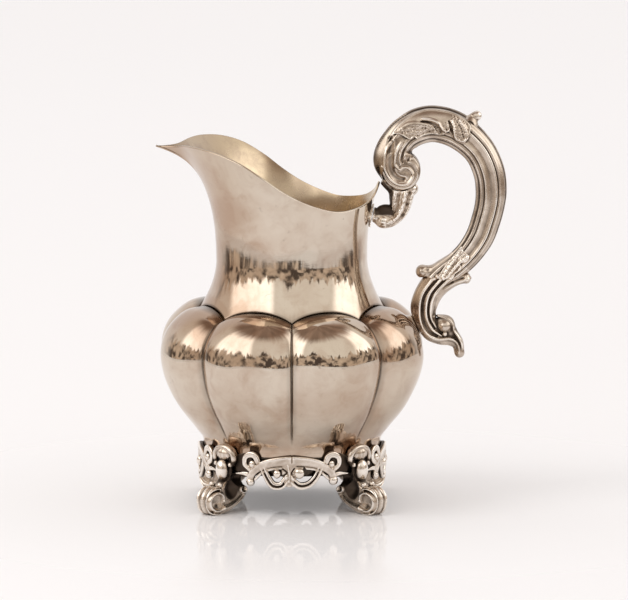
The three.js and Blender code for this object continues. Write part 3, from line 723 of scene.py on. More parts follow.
TAIL_STROKES = [
    (0.60, [(49.3, 80.6, .8), (45.6, 75.1, .85), (44.6, 70.0, .85), (45.2, 64.5, .85), (47.2, 60.7, .85),
            (50.9, 58.7, .8), (55.6, 58.9, .7), (57.9, 57.6, .6), (58.8, 55.4, .6), (58.7, 53.6, .5)]),
    (0.55, [(52.5, 80.6, .7), (48.2, 75.1, .75), (47.1, 70.4, .75), (47.5, 66.0, .75), (49.5, 62.2, .7),
            (52.6, 60.0, .5)]),
    (0.50, [(55.2, 80.0, .7), (50.5, 75.1, .7), (48.9, 70.8, .7), (49.0, 66.4, .7), (50.6, 63.2, .6)]),
    (-0.60, [(51.0, 80.4, .6), (46.7, 74.6, .6), (45.8, 70.0, .6), (46.3, 65.4, .8), (48.3, 61.6, .9),
             (50.9, 59.9, .6)]),
    (-0.50, [(53.8, 80.2, .5), (49.4, 75.2, .5), (48.0, 70.8, .5), (48.3, 66.2, .5), (50.2, 62.6, .5)]),
    (-0.45, [(56.6, 79.0, .5), (52.0, 75.4, .7), (50.2, 71.4, .9), (50.0, 67.6, .9)]),
]
KNUCKLE_LEAF = [  # outline of the leaf that wraps the foot of the grip
    (50.8, 79.6), (52.1, 82.5), (54.2, 85.7), (57.0, 88.9), (59.7, 91.9), (60.3, 90.3), (62.3, 88.4),
    (61.2, 86.4), (59.2, 85.9), (59.6, 83.9), (57.4, 82.3), (56.6, 80.6), (54.9, 79.4),
]
KNUCKLE_STROKES = [
    (0.35, [(53.0, 81.0, .8), (56.4, 86.4, .8), (59.4, 91.0, .5)]),
    (0.35, [(54.4, 80.6, .8), (58.2, 85.6, .8), (61.6, 88.2, .5)]),
    (0.30, [(55.2, 80.0, .8), (57.6, 82.6, .7), (59.2, 84.0, .5)]),
    (-0.35, [(53.8, 81.4, .5), (57.2, 86.0, .6), (60.2, 89.6, .4)]),
    (-0.35, [(55.0, 80.6, .5), (58.0, 84.0, .5), (60.0, 86.4, .4)]),
]
BRACKET_STROKES = [
    (0.65, [(40.4, 113.6, .9), (39.6, 109.4, 1.0), (38.6, 105.4, 1.0), (36.6, 101.9, .9), (33.6, 99.9, .8)]),
    (-0.70, [(38.2, 113.0, .7), (37.2, 109.0, .8), (36.6, 105.6, .9), (35.2, 103.0, .8)]),
    (0.50, [(36.2, 112.4, .8), (35.3, 109.0, .7), (35.2, 106.0, .6)]),
    (-0.50, [(42.0, 113.0, .5), (40.9, 109.0, .6), (40.0, 105.2, .6), (38.2, 101.9, .6), (35.0, 98.9, .5)]),
    (0.45, [(43.2, 112.4, .7), (42.0, 108.2, .7), (41.0, 104.6, .6), (39.2, 101.4, .6)]),
]


def handle_travel(place):
    """Distance along the handle's middle line to a place counted in points of HANDLE."""
    lengths = np.linalg.norm(np.diff(HANDLE_LINE[:, :2], axis=0), axis=1)
    gone = np.concatenate([[0], np.cumsum(lengths)])
    return float(np.interp(place * HANDLE_DETAIL, np.arange(len(HANDLE_LINE)), gone))


def rounded_ends(side, away, at_end=True):
    """Side distances that grow in every direction past the ends of a line, and so round them."""
    beyond = np.sqrt(np.maximum(away**2 - side**2, 0)) * at_end
    return np.where(beyond > 0.01, np.sign(side) * away, side)


def flute_relief(side, y, half):
    """Lengthwise flutes, as a height on the surface of an oval bar, and degrees round the bar."""
    around = np.degrees(np.arctan2(side / half, np.abs(y) / (half * FLATTEN) + 1e-6))
    total = 0
    for place, width, height in FLUTES:
        total = total + height * hump((around - place) / width)
    return total, around


def spine_soot(points, near, far, strength):
    """Extra tarnish on the narrow sides of the handle, which no cloth ever reaches."""
    return strength * (1 - step_up(np.abs(points[:, 1]), near, far))


def spread(values):
    """Values in the handle's plane, ready to be repeated across its thickness."""
    return values[:, None, :].astype(np.float32)


def leaf_relief(px, pz):
    """The acanthus leaf on the shoulder of the grip: its height, and 1 on it to 0 off it."""
    edge = outline_distance(curve(LEAF + LEAF[:1], 4), px, pz)
    on_leaf = step_up(-edge, -0.25, 0.25)
    matted = step_up(-edge, 0.2, 1.0) * (1 - step_up(pz - 0.12 * (px - 40), 133.0, 135.2))
    lobe = step_up(px, 55.8, 57.0) * step_up(-edge, 0.3, 0.8)
    leaf = 0.45 + 0.22 * hump(edge / 0.55) + strokes(LEAF_STROKES, px, pz)
    return leaf + 0.12 * mottle(px, pz, 0.36) * np.maximum(matted, lobe), on_leaf


def volute_disc(px, pz, y, into_volute):
    """The rolled disc at the start of the handle, with the strokes that end on its faces."""
    distance = np.hypot(px - VOLUTE[0], pz - VOLUTE[1])
    face = spread(into_volute * (1 - step_up(distance, 6.3, 7.2)) * 0.85)
    disc = meet(spread(distance) - VOLUTE_RADIUS, np.abs(y) - VOLUTE_HALF - face, 1.6)
    return disc + 0.35 * hump((np.abs(y) - 2.2) / 0.9) * spread(step_up(px, 40, 43))


def grip():
    """The whole grip with its volute, cut afterwards into the two cast halves."""
    box = Samples((27.5, -6.5, 82.5), (77.0, 6.5, 142.6), step=0.17)
    px, pz, y = box.plane_x, box.plane_z, box.y.astype(np.float32)
    travel, side, away, half = follow(HANDLE_LINE, px, pz)
    start = handle_travel(FLUTES_START)
    s, h = spread(rounded_ends(side, away)), spread(half)
    leaf, on_leaf = leaf_relief(px, pz)
    into_volute = strokes(VOLUTE_STROKES, px, pz)
    shoulder = 1 - step_up(travel, start, start + 6.0)
    plane = into_volute * shoulder * (1 - on_leaf) + leaf * on_leaf
    relief, around = flute_relief(s, y, h)
    relief = relief * spread((1 - shoulder) * (1 - on_leaf)) + spread(plane) * step_up(np.abs(y), 0.2, 2.4)

    milled = band(travel - handle_travel(1.7), (0, 1.5), (11, 14))
    teeth = np.abs(((spread(travel) * 1.15 + y * 0.9) / 0.80) % 1.0 - 0.5) * 2
    relief = relief - 0.42 * teeth * spread(milled) * step_up(around, 56, 66)
    spine = step_up(around, 66, 74) * spread(step_up(travel, start + 6, start + 9))
    before_knob = 1 - spread(step_up(travel, handle_travel(7.2), handle_travel(7.6)))
    relief = relief + 0.16 * spine * before_knob

    field = join(oval(s, y, h, FLATTEN) - relief, volute_disc(px, pz, y, into_volute), 1.0)
    cup_gap = spread(np.hypot(px - 43.3, pz - 125.2)) - 1.0
    field = meet(field, -cup_gap, 0.6)
    field = np.maximum(field, (travel - handle_travel(GRIP_END))[:, None, :])
    points, faces, hollow = box.surface(field)
    hollow = hollow + spine_soot(points, 1.0, 4.4, 0.36)
    for hand, sign in (("left", -1), ("right", 1)):
        piece = add_casting(f"grip_{hand}", points, faces, [f"handle_grip_{hand}"], hollow)
        split_lengthwise(piece, sign)


def split_lengthwise(piece, sign):
    """Keeps one side of the upright middle plane, short of it by the width of a seam."""
    shape = bmesh.new()
    shape.from_mesh(piece.data)
    everything = shape.verts[:] + shape.edges[:] + shape.faces[:]
    bmesh.ops.bisect_plane(
        shape, geom=everything, plane_co=(0, sign * HALF_SEAM * MM, 0), plane_no=(0, 1, 0),
        clear_inner=sign > 0, clear_outer=sign < 0,
    )
    rims = [edge for edge in shape.edges if edge.is_boundary]
    made = bmesh.ops.contextual_create(shape, geom=rims)
    for face in made["faces"]:
        face.smooth = False
    for edge in rims:
        if edge.is_valid:
            edge.smooth = False
    shape.to_mesh(piece.data)
    shape.free()


def knuckle():
    """Leaf-wrapped end of the grip, with the rolled inner knob."""
    box = Samples((42.6, -6.2, 79.6), (64.4, 6.2, 93.0), step=0.13)
    px, pz = box.plane_x, box.plane_z
    travel, side, _, half = follow(HANDLE_LINE, px, pz)
    first, last = handle_travel(GRIP_END - 0.3), handle_travel(17.0)
    s, h = side[:, None, :], half[:, None, :]
    relief, _ = flute_relief(s, box.y, h)
    bar = oval(s, box.y, h, FLATTEN)
    collar = meet(bar - relief, np.maximum(first - travel, travel - last)[:, None, :], 0.3)
    edge = outline_distance(curve(KNUCKLE_LEAF + KNUCKLE_LEAF[:1], 4), px, pz)
    raised = 0.55 + strokes(KNUCKLE_STROKES, px, pz) + 0.15 * hump(edge / 0.5) + 0.07 * mottle(px, pz, 0.4)
    leaf = meet(bar - raised[:, None, :], edge[:, None, :], 0.35)

    roll = box.arm([(57.0, 86.8, 2.2), (53.2, 84.6, 2.4), (49.6, 82.9, 2.15), (46.6, 82.6, 2.2),
                    (45.9, 82.6, 2.3)])
    hatched = band(px, (49.6, 50.4), (52.6, 53.6))
    hatch = 0.14 * np.abs(((px + pz * 0.4) / 0.62) % 1 - 0.5) * hatched
    roll = join(roll + hatch[:, None, :], box.ball((45.9, 0, 82.6), (2.35, 2.75, 2.35)), 0.4)
    roll = meet(roll, -box.ball((48.0, 3.0, 83.6), (1.6, 1.25, 1.15), mirrored=True), 0.4)
    bead = box.ball((51.3, 3.2, 81.1), (1.15, 1.2, 1.1), mirrored=True)
    field = join(join(join(collar, roll, 0.8), leaf, 0.15), bead, 0.25)
    hem = KNUCKLE_FLOOR_Z + 0.35 * np.sin(px * 2.1) - pz
    points, faces, hollow = box.surface(meet(field, hem[:, None, :], 0.5))
    hollow = hollow + spine_soot(points, 0.8, 2.8, 0.2)
    hollow = hollow - 0.16 * (outline_distance(KNUCKLE_LEAF, points[:, 0], points[:, 2]) < 0)
    add_casting("knuckle", points, faces, ["handle_knuckle"], hollow)


def tail():
    """Fluted lower scroll with the outer spur, the bulb under its strap, and the drip."""
    box = Samples((40.6, -5.2, 51.0), (64.8, 5.2, 84.0), step=0.14)
    px, pz = box.plane_x, box.plane_z
    travel, side, away, half = follow(HANDLE_LINE, px, pz)
    begin, end = handle_travel(TAIL_START - 0.7), handle_travel(len(HANDLE) - 1)
    side = rounded_ends(side, away, travel > end - 1)
    relief = strokes(TAIL_STROKES, px, pz)[:, None, :] * step_up(np.abs(box.y), 0.3, 1.8)
    hidden = 0.35 * step_up(pz, KNUCKLE_FLOOR_Z, KNUCKLE_FLOOR_Z + 0.6)
    trunk = oval(side[:, None, :], box.y, half[:, None, :], FLATTEN) - relief + hidden[:, None, :]
    trunk = np.maximum(trunk, np.maximum((begin - travel)[:, None, :], box.z - KNUCKLE_FLOOR_Z - 1.6))

    spur_line = [(50.5, 75.6), (54.0, 77.4), (57.6, 79.2), (61.2, 80.3)]
    spur = box.arm(np.column_stack([spur_line, (2.4, 2.0, 1.7, 1.7)]), 1.35)
    _, lift, _, _ = follow(curve(spur_line, 8), px, pz)
    spur = spur + (0.4 * hump((lift - 0.5) / 0.5) - 0.25 * hump((lift + 0.5) / 0.6))[:, None, :]
    field = join(join(trunk, spur, 1.2), box.ball((61.4, 0, 80.2), (1.45, 2.5, 1.95)), 0.5)

    web = box.ball((53.7, 0, 63.9), (3.5, 2.0, 3.3))
    web = join(web, box.ball((55.6, 0, 61.2), (2.6, 1.7, 2.4)), 0.5)
    bulb = box.ball((53.7, 0, 63.3), (2.7, 3.2, 2.6))
    strap = box.arm([(51.4, 66.9, .5), (53.6, 66.4, .6), (55.7, 65.3, .65), (56.7, 63.6, .7),
                     (57.0, 61.8, .7), (58.3, 60.0, .8), (59.5, 57.8, .8), (59.9, 55.6, .6)], 3.2)
    bead = box.ball((53.8, 1.9, 60.6), (0.9, 0.9, 0.8), mirrored=True)
    drop = box.ball((58.9, 0, 54.0), (1.65, 1.8, 1.9))
    for part, blend in ((web, 0.5), (bulb, 0.7), (strap, 0.5), (bead, 0.4), (drop, 0.6)):
        field = join(field, part, blend)
    points, faces, hollow = box.surface(field)
    add_casting("tail_scroll", points, faces, ["handle_tail"], hollow + spine_soot(points, 0.8, 3.0, 0.24))


def bracket():
    """J-shaped leaf between the volute and the neck."""
    box = Samples((27.6, -5.6, 96.6), (46.0, 5.6, 116.0), step=0.13)
    px, pz = box.plane_x, box.plane_z
    deep = np.abs(box.y)
    _, side, _, half = follow(curve(BRACKET, 12), px, pz)
    relief = strokes(BRACKET_STROKES, px, pz)[:, None, :] * step_up(deep, 0.3, 1.6)
    field = oval(side[:, None, :], box.y, half[:, None, :], 0.85) - relief
    for notch_x, notch_z in ((43.6, 108.7), (42.2, 104.3)):
        notch = np.hypot(px - notch_x, pz - notch_z)[:, None, :] - 0.55
        field = meet(field, -notch, 0.4)
    rough_skin = 0.09 * mottle(px * 1.5, pz * 1.2, 1.0, 2.0) + 0.03 * mottle(px * 3.7, pz * 3.1, 1.0, 5.0)
    field = field + rough_skin[:, None, :] * step_up(deep, 0.6, 1.8)

    web = box.ball((33.0, 0, 103.4), (3.9, 2.1, 3.0))
    turn = np.hypot(px - 31.9, pz - 101.0)
    curl = box.ball((32.0, 0, 100.6), (2.8, 3.1, 2.7))
    curl = curl + (0.15 * hump((turn - 1.5) / 0.6))[:, None, :] * step_up(deep, 1.2, 2.0)
    upper = box.arm([(37.4, 111.0, 2.2), (34.4, 112.6, 1.7), (31.2, 115.3, 1.1)])
    flare = box.ball((42.5, 0, 112.0), (1.9, 2.6, 2.3))
    for part, blend in ((web, 0.4), (curl, 0.6), (upper, 0.8), (flare, 0.6)):
        field = join(field, part, blend)
    seat = VOLUTE_RADIUS + 0.1 - np.hypot(px - VOLUTE[0], pz - VOLUTE[1])[:, None, :]
    wall = neck_radius(box.z, 0.0) + 0.9 - 0.5 * step_up(box.z, 108.5, 110.5) - np.hypot(box.x, box.y)
    field = meet(meet(field, seat, 0.3), wall, 0.3)
    points, faces, hollow = box.surface(field)
    hollow = hollow + spine_soot(points, 0.8, 2.6, 0.12) - 0.14
    # Painted shade: the web between the inner part of the J and the neck is painted dark, as shade.
    hollow = hollow + 0.8 * (1 - step_up(points[:, 0], 34.9, 36.0)) * step_up(points[:, 2], 102.2, 103.6)
    add_casting("bracket", points, faces, ["handle_bracket"], hollow)


def thumb_knob():
    """Short curved finger on the outside of the grip, with a ring round its foot."""
    row = int(round(THUMB_PLACE * HANDLE_DETAIL))
    along = HANDLE_LINE[row + 1, :2] - HANDLE_LINE[row - 1, :2]
    along = along / np.linalg.norm(along)
    out = np.array([-along[1], along[0]])
    foot = HANDLE_LINE[row, :2] + out * 5.9
    tip = foot + out * 2.2 + (0.5, 0.0)
    box = Samples((59.0, -2.8, 133.0), (69.6, 2.8, 142.6), step=0.1)
    finger = box.arm([(*(foot - out * 0.4), 3.1), (*(foot + out * 1.0), 2.1), (*tip, 1.7)])
    field = join(finger, box.ball((tip[0], 0, tip[1]), (1.6, 1.75, 1.6)), 0.5)
    above = (box.plane_x - foot[0]) * out[0] + (box.plane_z - foot[1]) * out[1]
    ring = np.abs(above - 1.3)[:, None, :]
    points, faces, hollow = box.surface(field + 0.15 * hump(ring / 0.4))
    add_casting("thumb_knob", points, faces, ["thumb_spur"], hollow)


def neck_pad():
    """Ragged soldered plate between the neck and the bracket, bent to the neck."""
    box = Samples((-5.0, -0.3, 97.6), (5.0, 1.6, 108.0), step=0.11)
    around, out, z = box.x, box.y, box.z
    edge = np.hypot(around / 4.1, (z - 102.4) / 4.0) - 1
    edge = edge + 0.07 * np.sin(around * 2.9 + z * 1.7) * np.cos(z * 2.3)
    faces_apart = np.abs(out - 0.30) - 0.26 - 0.08 * np.sin(around * 3.1) * np.sin(z * 2.1)
    flat, faces, hollow = box.surface(meet(edge * 4.0, faces_apart, 0.25))
    radius = neck_radius(flat[:, 2], 0.0) + 0.03 + flat[:, 1]
    angle = flat[:, 0] / 28.0
    points = np.column_stack([radius * np.cos(angle), radius * np.sin(angle), flat[:, 2]])
    add_casting("neck_plate", points, faces[:, ::-1], ["neck_pad"], hollow + 0.12)


def belly_pad():
    """Small solder saddle between the belly's groove and the tail."""
    box = Samples((39.6, -2.6, 59.0), (47.0, 2.6, 68.4), step=0.13)
    px, pz = box.plane_x, box.plane_z
    groove = np.array(GROOVE)[::-1]
    near = np.interp(pz, groove[:, 1], groove[:, 0]) + 0.2
    far = np.interp(pz, (59.5, 62.0, 64.5, 67.5), (45.6, 44.5, 43.7, 42.3))
    field = np.maximum(near - px, px - far)[:, None, :] + 0.35 * np.abs(box.y)
    field = meet(field, np.abs(box.y) - 1.7, 0.6)
    field = meet(field, np.abs(box.z - 63.6) - 3.4, 0.6)
    points, faces, hollow = box.surface(field)
    add_casting("belly_saddle", points, faces, ["belly_pad"], hollow + 0.1)


# ---- feet ----
def arc(centre, radius_start, radius_end, start, end, count):
    """Points on a spiral arc between two angles in degrees."""
    share = np.linspace(0, 1, count)
    angle = np.radians(start + (end - start) * share)
    radius = radius_start + (radius_end - radius_start) * share
    return np.column_stack([centre[0] + radius * np.cos(angle), centre[1] + radius * np.sin(angle)])


FOOT_CENTRE = (39.5, 5.6)
DISH = (39.6, 5.4)
DISH_STRETCH = 1.22


def dish_arc(radius_start, radius_end, start, end, count):
    """An arc round the dish of the foot's volute, longer outwards than upwards."""
    points = arc((0, 0), radius_start, radius_end, start, end, count)
    return points * [DISH_STRETCH, 1] + DISH


def foot_side_relief(a, z):
    """Height of the chased scrolls on the two side faces of a foot."""
    dish = np.hypot((a - DISH[0]) / DISH_STRETCH, z - DISH[1])
    eye = np.hypot(a - 37.0, z - 5.2)
    lines = [
        (-0.8, dish_arc(4.0, 3.85, -62, 100, 10), 0.5),
        (-0.2, [(27.6, 6.4), (30.4, 4.4), (33.4, 2.9), (36.0, 2.0)], 0.35),
        (0.75, np.vstack([dish_arc(2.2, 2.9, 168, 120, 4), dish_arc(3.1, 3.2, 100, -140, 14)]), 0.75),
        (0.5, dish_arc(4.6, 4.5, -100, 105, 12), 0.6),
        (0.75, [(26.4, 8.6), (27.2, 6.6), (30.0, 4.5), (33.2, 3.3), (36.6, 2.5)], 1.25),
    ]
    ground = -0.6 * (1 - step_up(dish, 0.4, 2.9)) + 0.75 * hump(eye / 0.75)
    total = even_strokes(ground, lines, a, z, 4)
    curl = np.hypot(a - 27.4, z - 8.7)
    total = total + 0.65 * hump((curl - 1.15) / 0.5) - 0.5 * (1 - step_up(curl, 0.2, 0.7))
    web = np.hypot((a - 33.0) / 3.0, (z - 9.2) / 3.5)
    upper_web = np.hypot((a - 29.9) / 3.0, (z - 12.6) / 2.6)
    return total - np.maximum(1.7 * hump(web), 1.5 * hump(upper_web))


def foot_plate(box):
    """The flat scroll of a foot with its chased sides and banded round edge."""
    px, pz, deep = box.plane_x, box.plane_z, np.abs(box.y)
    outline = np.vstack([
        [(31.5, 24.0), (31.5, 15.0), (27.9, 15.0), (27.1, 13.0), (27.4, 11.4), (26.9, 10.3), (25.9, 9.3),
         (25.5, 7.6), (26.6, 5.3), (29.0, 3.6), (32.0, 2.1), (35.2, 1.0)],
        arc(FOOT_CENTRE, 5.0, 5.2, -98, 0, 9), arc(FOOT_CENTRE, 5.2, 4.8, 10, 112, 9),
        [(35.9, 11.2), (34.3, 12.4), (33.0, 14.0), (32.8, 19.0), (33.4, 22.4)],
    ])
    flat = outline_distance(outline, px, pz)
    narrower = 0.5 * step_up(pz, 10.5, 13.5) + 0.2
    half = FOOT_HALF - narrower + foot_side_relief(px, pz)
    field = meet(flat[:, None, :], deep - half[:, None, :], 0.8)
    sweep = np.degrees(np.arctan2(pz - FOOT_CENTRE[1], px - FOOT_CENTRE[0]))
    bands = 0.4 * hump((deep - 2.3) / 0.8) + 0.5 * hump(box.y / 1.1) - 0.35 * hump((deep - 1.3) / 0.5)
    on_round = band(sweep, (-66, -45), (100, 120)) * step_up(flat, -1.8, -0.7)
    return field + (0.3 - bands) * on_round[:, None, :]


def foot_cap(box):
    """The crescent that crowns a foot: a bar along [y, z, half width], facing outwards."""
    side = [(3.9, 17.9, .55), (4.5, 19.6, .85), (4.2, 21.5, 1.05), (2.9, 23.0, 1.2)]
    crescent = [(-y, z, half) for y, z, half in side] + [(0, 23.8, 1.25)] + side[::-1]
    _, _, off, width = follow(curve(crescent, 6), box.y[0], box.z[0])
    return np.sqrt(off[None, :, :] ** 2 + ((box.x - 33.1) / 1.35) ** 2) - width[None, :, :]


def foot_shape():
    """One foot in its own plane: x outwards from the jug's axis, y across, z up."""
    box = Samples((24.2, -5.6, 0.2), (45.6, 5.6, 26.4), step=0.13)
    knob = box.ball((37.6, 2.0, 11.0), (0.9, 0.9, 0.9), mirrored=True)
    bud = box.ball((34.4, 0, 15.9), (2.3, 2.45, 3.7))
    ribs = 0.10 * hump(((box.y * 1.15) % 1.9 - 0.95) / 0.6) * step_up(box.x, 33.2, 34.2)
    hood = box.ball((32.9, 0, 21.6), (2.5, 3.5, 2.5)) - ribs
    side_curl = box.ball((33.7, 3.5, 17.9), (1.1, 0.95, 0.95), mirrored=True)
    field = foot_plate(box)
    for part, blend in ((knob, 0.25), (bud, 0.2), (hood, 0.3), (foot_cap(box), 0.25), (side_curl, 0.3)):
        field = join(field, part, blend)
    inside_ring = APRON_INNER + 0.05 - np.hypot(box.x, box.y)
    field = np.maximum(field, np.minimum(inside_ring, box.z - RING_BOTTOM + 0.1))
    points, faces, hollow = box.surface(meet(field, STANDING_Z - box.z, 0.15))
    return points, faces, hollow + foot_shade_and_rub(*points.T)


def foot_shade_and_rub(x, y, z):
    """Painted shade in the web under a foot's stem and on its inner part, and the rubbed front of its bud."""
    shaded = (1 - step_up(x, 33.6, 35.0)) * step_up(z, 8.6, 10.6)
    web = np.hypot((x - 32.8) / 3.9, (z - 9.2) / 4.1)
    bud_front = np.hypot(y / 2.6, (z - 15.9) / 3.8) + 9 * (x < 35.0)
    oxide_and_shade = 1.2 * shaded * (1 - step_up(z, 18.4, 20.0)) + 1.5 * hump(web) * (1 - step_up(z, 17.0, 19.0))
    return oxide_and_shade - 0.35 * hump(bud_front / 0.95)


def add_round_the_jug(shape, kind, node_kind, places):
    """The same casting at several angles, from a shape of points, faces and hollow."""
    points, faces, hollow = shape
    for name, degrees in places:
        add_casting(f"{kind}_{name}", turned(points, degrees), faces, [f"{node_kind}_{name}"], hollow)


def feet():
    """Four scroll feet between the aprons."""
    places = (("handle_right", 45), ("spout_right", 135), ("spout_left", 225), ("handle_left", 315))
    add_round_the_jug(foot_shape(), "scroll_foot", "foot", places)


# ---- aprons ----
def apron_bar(a, out, z, points, groove=0.0, crown=0.5, depth=APRON_DEPTH, lean=0.0):
    """A crowned bar along [round the ring, height, half width], flat on its back."""
    _, side, away, width = follow(curve(points, 8), a, z)
    share = np.clip(away / width, 0, 1)
    top = depth - crown + crown * np.sqrt(1 - share**3) + lean * side
    top = top - groove * hump((side + 0.1 * width) / (0.34 * width))
    return meet((away - width)[:, None, :], np.maximum(out - top[:, None, :], -out), 0.3)


def apron_bars(a, out, z):
    """The arch, the loops and leaf that hang from it, and the curl and spike of both ends."""
    arch = [(-15.4, 12.8, 1.15), (-13.9, 15.8, 1.3), (-11.2, 17.9, 1.45), (-8.0, 19.2, 1.6),
            (0, 20.2, 1.75), (8.0, 19.3, 1.6), (11.2, 17.9, 1.45), (14.0, 15.8, 1.35), (15.0, 13.4, 1.2)]
    left_loop = [(-10.4, 18.0, 1.2), (-8.6, 14.2, 1.3), (-6.6, 11.6, 1.45), (-3.8, 11.5, 1.4),
                 (-2.2, 13.4, 1.3)]
    right_loop = [(10.2, 17.8, 1.1), (8.4, 14.2, 1.2), (5.8, 11.8, 1.3), (2.6, 11.4, 1.35), (.4, 13.0, 1.3)]
    leaf = [(-1.0, 19.2, 2.4), (-.8, 16.8, 2.8), (-.8, 14.6, 2.5), (-1.0, 12.8, 1.9)]
    curl = [(-14.6, 16.6, 1.0), (-17.0, 18.4, .9), (-16.9, 20.8, 1.0), (-15.2, 22.0, 1.1),
            (-13.2, 21.6, 1.1), (-12.0, 19.4, 1.0)]
    spike = [(-15.0, 14.8, 1.0), (-17.4, 15.2, .75), (-20.4, 15.0, .35)]
    field = apron_bar(a, out, z, arch, crown=0.45, lean=0.16)
    bars = [
        apron_bar(a, out, z, left_loop, groove=0.8, depth=APRON_DEPTH - 0.1),
        apron_bar(a, out, z, right_loop, groove=0.7, depth=APRON_DEPTH - 0.1),
        apron_bar(a, out, z, leaf, crown=0.4, depth=APRON_DEPTH - 0.35),
    ]
    for end in (1, -1):
        bars += [apron_bar(a, out, z, np.array(line) * [end, 1, 1]) for line in (curl, spike)]
    for bar in bars:
        field = join(field, bar, 0.25)
    return field


def apron_shape():
    """One openwork apron laid flat: x round the ring, y outwards, z up."""
    box = Samples((-21.4, -0.4, 8.8), (21.4, 3.4, 24.2), step=0.12)
    a, out, z = box.plane_x, box.y, box.plane_z
    field = apron_bars(a, out, z)
    for end in (-1, 1):
        ground = np.hypot((a * end - 17.8) / 3.9, (z - 18.0) / 4.2)
        plate = meet((ground * 4 - 4)[:, None, :], np.maximum(out - 0.55, -out), 0.2)
        field = join(field, plate, 0.15)
    rail_line = [(-13.2, 13.4), (-10.4, 16.0), (-7.4, 17.2), (0, 17.9),
                 (7.4, 17.3), (10.4, 16.0), (13.2, 13.6)]
    rail = meet((follow(curve(rail_line, 8), a, z)[2] - 0.45)[:, None, :], np.maximum(out - 1.25, -out), 0.3)
    field = join(field, rail, 0.12)
    spots = [  # [round the ring, height, radii round, up and outwards]: buds and knobs
        (-14.9, 12.3, 1.45, 1.4, 1.4), (15.0, 12.9, 1.65, 1.65, 1.4), (-5.2, 15.6, 1.35, 1.6, 1.35),
        (-14.2, 18.6, 1.3, 1.5, 1.2), (14.2, 18.6, 1.2, 1.4, 1.1), (2.6, 15.9, 1.85, 1.95, 1.45),
        (-1.9, 14.6, .8, 1.5, 1.0), (.3, 14.4, .8, 1.5, .9),
    ]
    for around, height, wide, tall, deep in spots:
        field = join(field, box.ball((around, 0.85, height), (wide, deep, tall)), 0.2)
    carved = [
        (0.3, [(-1.4, 18.8), (-.9, 16.0), (-1.0, 12.8)], 0.35),
        (-0.4, [(-3.1, 17.4), (-1.7, 16.2), (-3.0, 15.0)], 0.35),
        (-0.4, [(.9, 17.6), (-.1, 16.0), (.7, 14.6)], 0.35),
        (-0.4, [(4.3, 17.8), (4.9, 16.2), (4.2, 14.4)], 0.4),
    ]
    ground = 0.025 * mottle(a, z, 1.4) - 0.35 * hump(a / 0.28) * step_up(z, 19.4, 19.8)
    relief = even_strokes(ground, carved, a, z, 6)
    field = field - relief[:, None, :] * step_up(out, 0.5, 1.0)
    points, faces, hollow = box.surface(field)
    # Painted shade: the back of the apron and the plates behind its end curls are painted dark, as shade; the
    # outermost faces are made a little brighter.
    hollow = hollow + 0.9 * (1 - step_up(points[:, 1], 0.6, 1.3)) - 0.12 * step_up(points[:, 1], 1.1, 1.6)
    radius = APRON_INNER + points[:, 1]
    angle = points[:, 0] / (APRON_INNER + APRON_DEPTH / 2)
    bent = np.column_stack([radius * np.sin(angle), -radius * np.cos(angle), points[:, 2]])
    return bent, faces, hollow


def aprons():
    """Four aprons, one on each side of the jug."""
    places = (("left", 0), ("handle", 90), ("right", 180), ("spout", 270))
    add_round_the_jug(apron_shape(), "openwork", "apron", places)


belly()
neck()
base_disc()
base_ring()
feet()
aprons()
grip()
knuckle()
tail()
bracket()
thumb_knob()
neck_pad()
belly_pad()


# ---- camera ----
CAMERA_RISE = 8.2  # degrees above the horizontal
CAMERA_DISTANCE = 3.0  # metres
VIEW_WIDTH = 221.056  # millimetres across the picture, at the jug
AIM_ALONG, AIM_HEIGHT, AIM_LIFT = 7.74, 70, 2.39  # from the axis, from the level, up the picture


def camera():
    """Long lens looking from the jug's left side, a little from above."""
    data = bpy.data.cameras.new("camera")
    data.sensor_width = 36.0
    data.lens = data.sensor_width * CAMERA_DISTANCE / (VIEW_WIDTH * MM)
    eye = new_object("camera", data)
    rise = math.radians(CAMERA_RISE)
    up = Vector((0, math.sin(rise), math.cos(rise)))
    view = Vector((0, math.cos(rise), -math.sin(rise)))
    target = Vector((AXIS_X + AIM_ALONG * MM, 0, LEVEL_Z + AIM_HEIGHT * MM)) + up * AIM_LIFT * MM
    eye.location = target - view * CAMERA_DISTANCE
    eye.rotation_euler = view.to_track_quat("-Z", "Y").to_euler()
    bpy.context.scene.camera = eye


# ---- floor, surroundings and light, in metres ----
BACKDROP = (0.955, 0.925, 0.915)
FLOOR_HALF = 6.0
DOME_RADIUS = 0.42
DOME_HEIGHT = 0.070  # how far the middle of the dome lies above the table
DOME_DROP = 0.068  # how far the dome reaches down from its middle
KEY_PLACE = (-0.9, -0.5, 1.3)
KEY_AIM = (0, 0, 0.05)
KEY_SIZE = 0.8
KEY_POWER = 5.0

# The room that the metal reflects, by direction in degrees: azimuth 0 towards the viewer and
# growing to the right, elevation 0 level. Pairs are where a soft edge begins and ends.
TABLE_EDGE = -6.3
SKYLINE = 14
CEILING = (45, 64)
WALL = (108, 138)
LEFT_WINDOW = ((-98, -88), (-34, -24))
RIGHT_WINDOW = ((58, 70), (100, 108))
DIM_ROOM = np.array([0.10, 0.077, 0.064])
ROOM_PATCHES = np.array([0.66, 0.54, 0.43])
LIGHT_WALL = np.array([0.94, 0.88, 0.805])
WINDOW_GLOW = 1.02
CEILING_COLOUR = np.array([0.36, 0.26, 0.205])


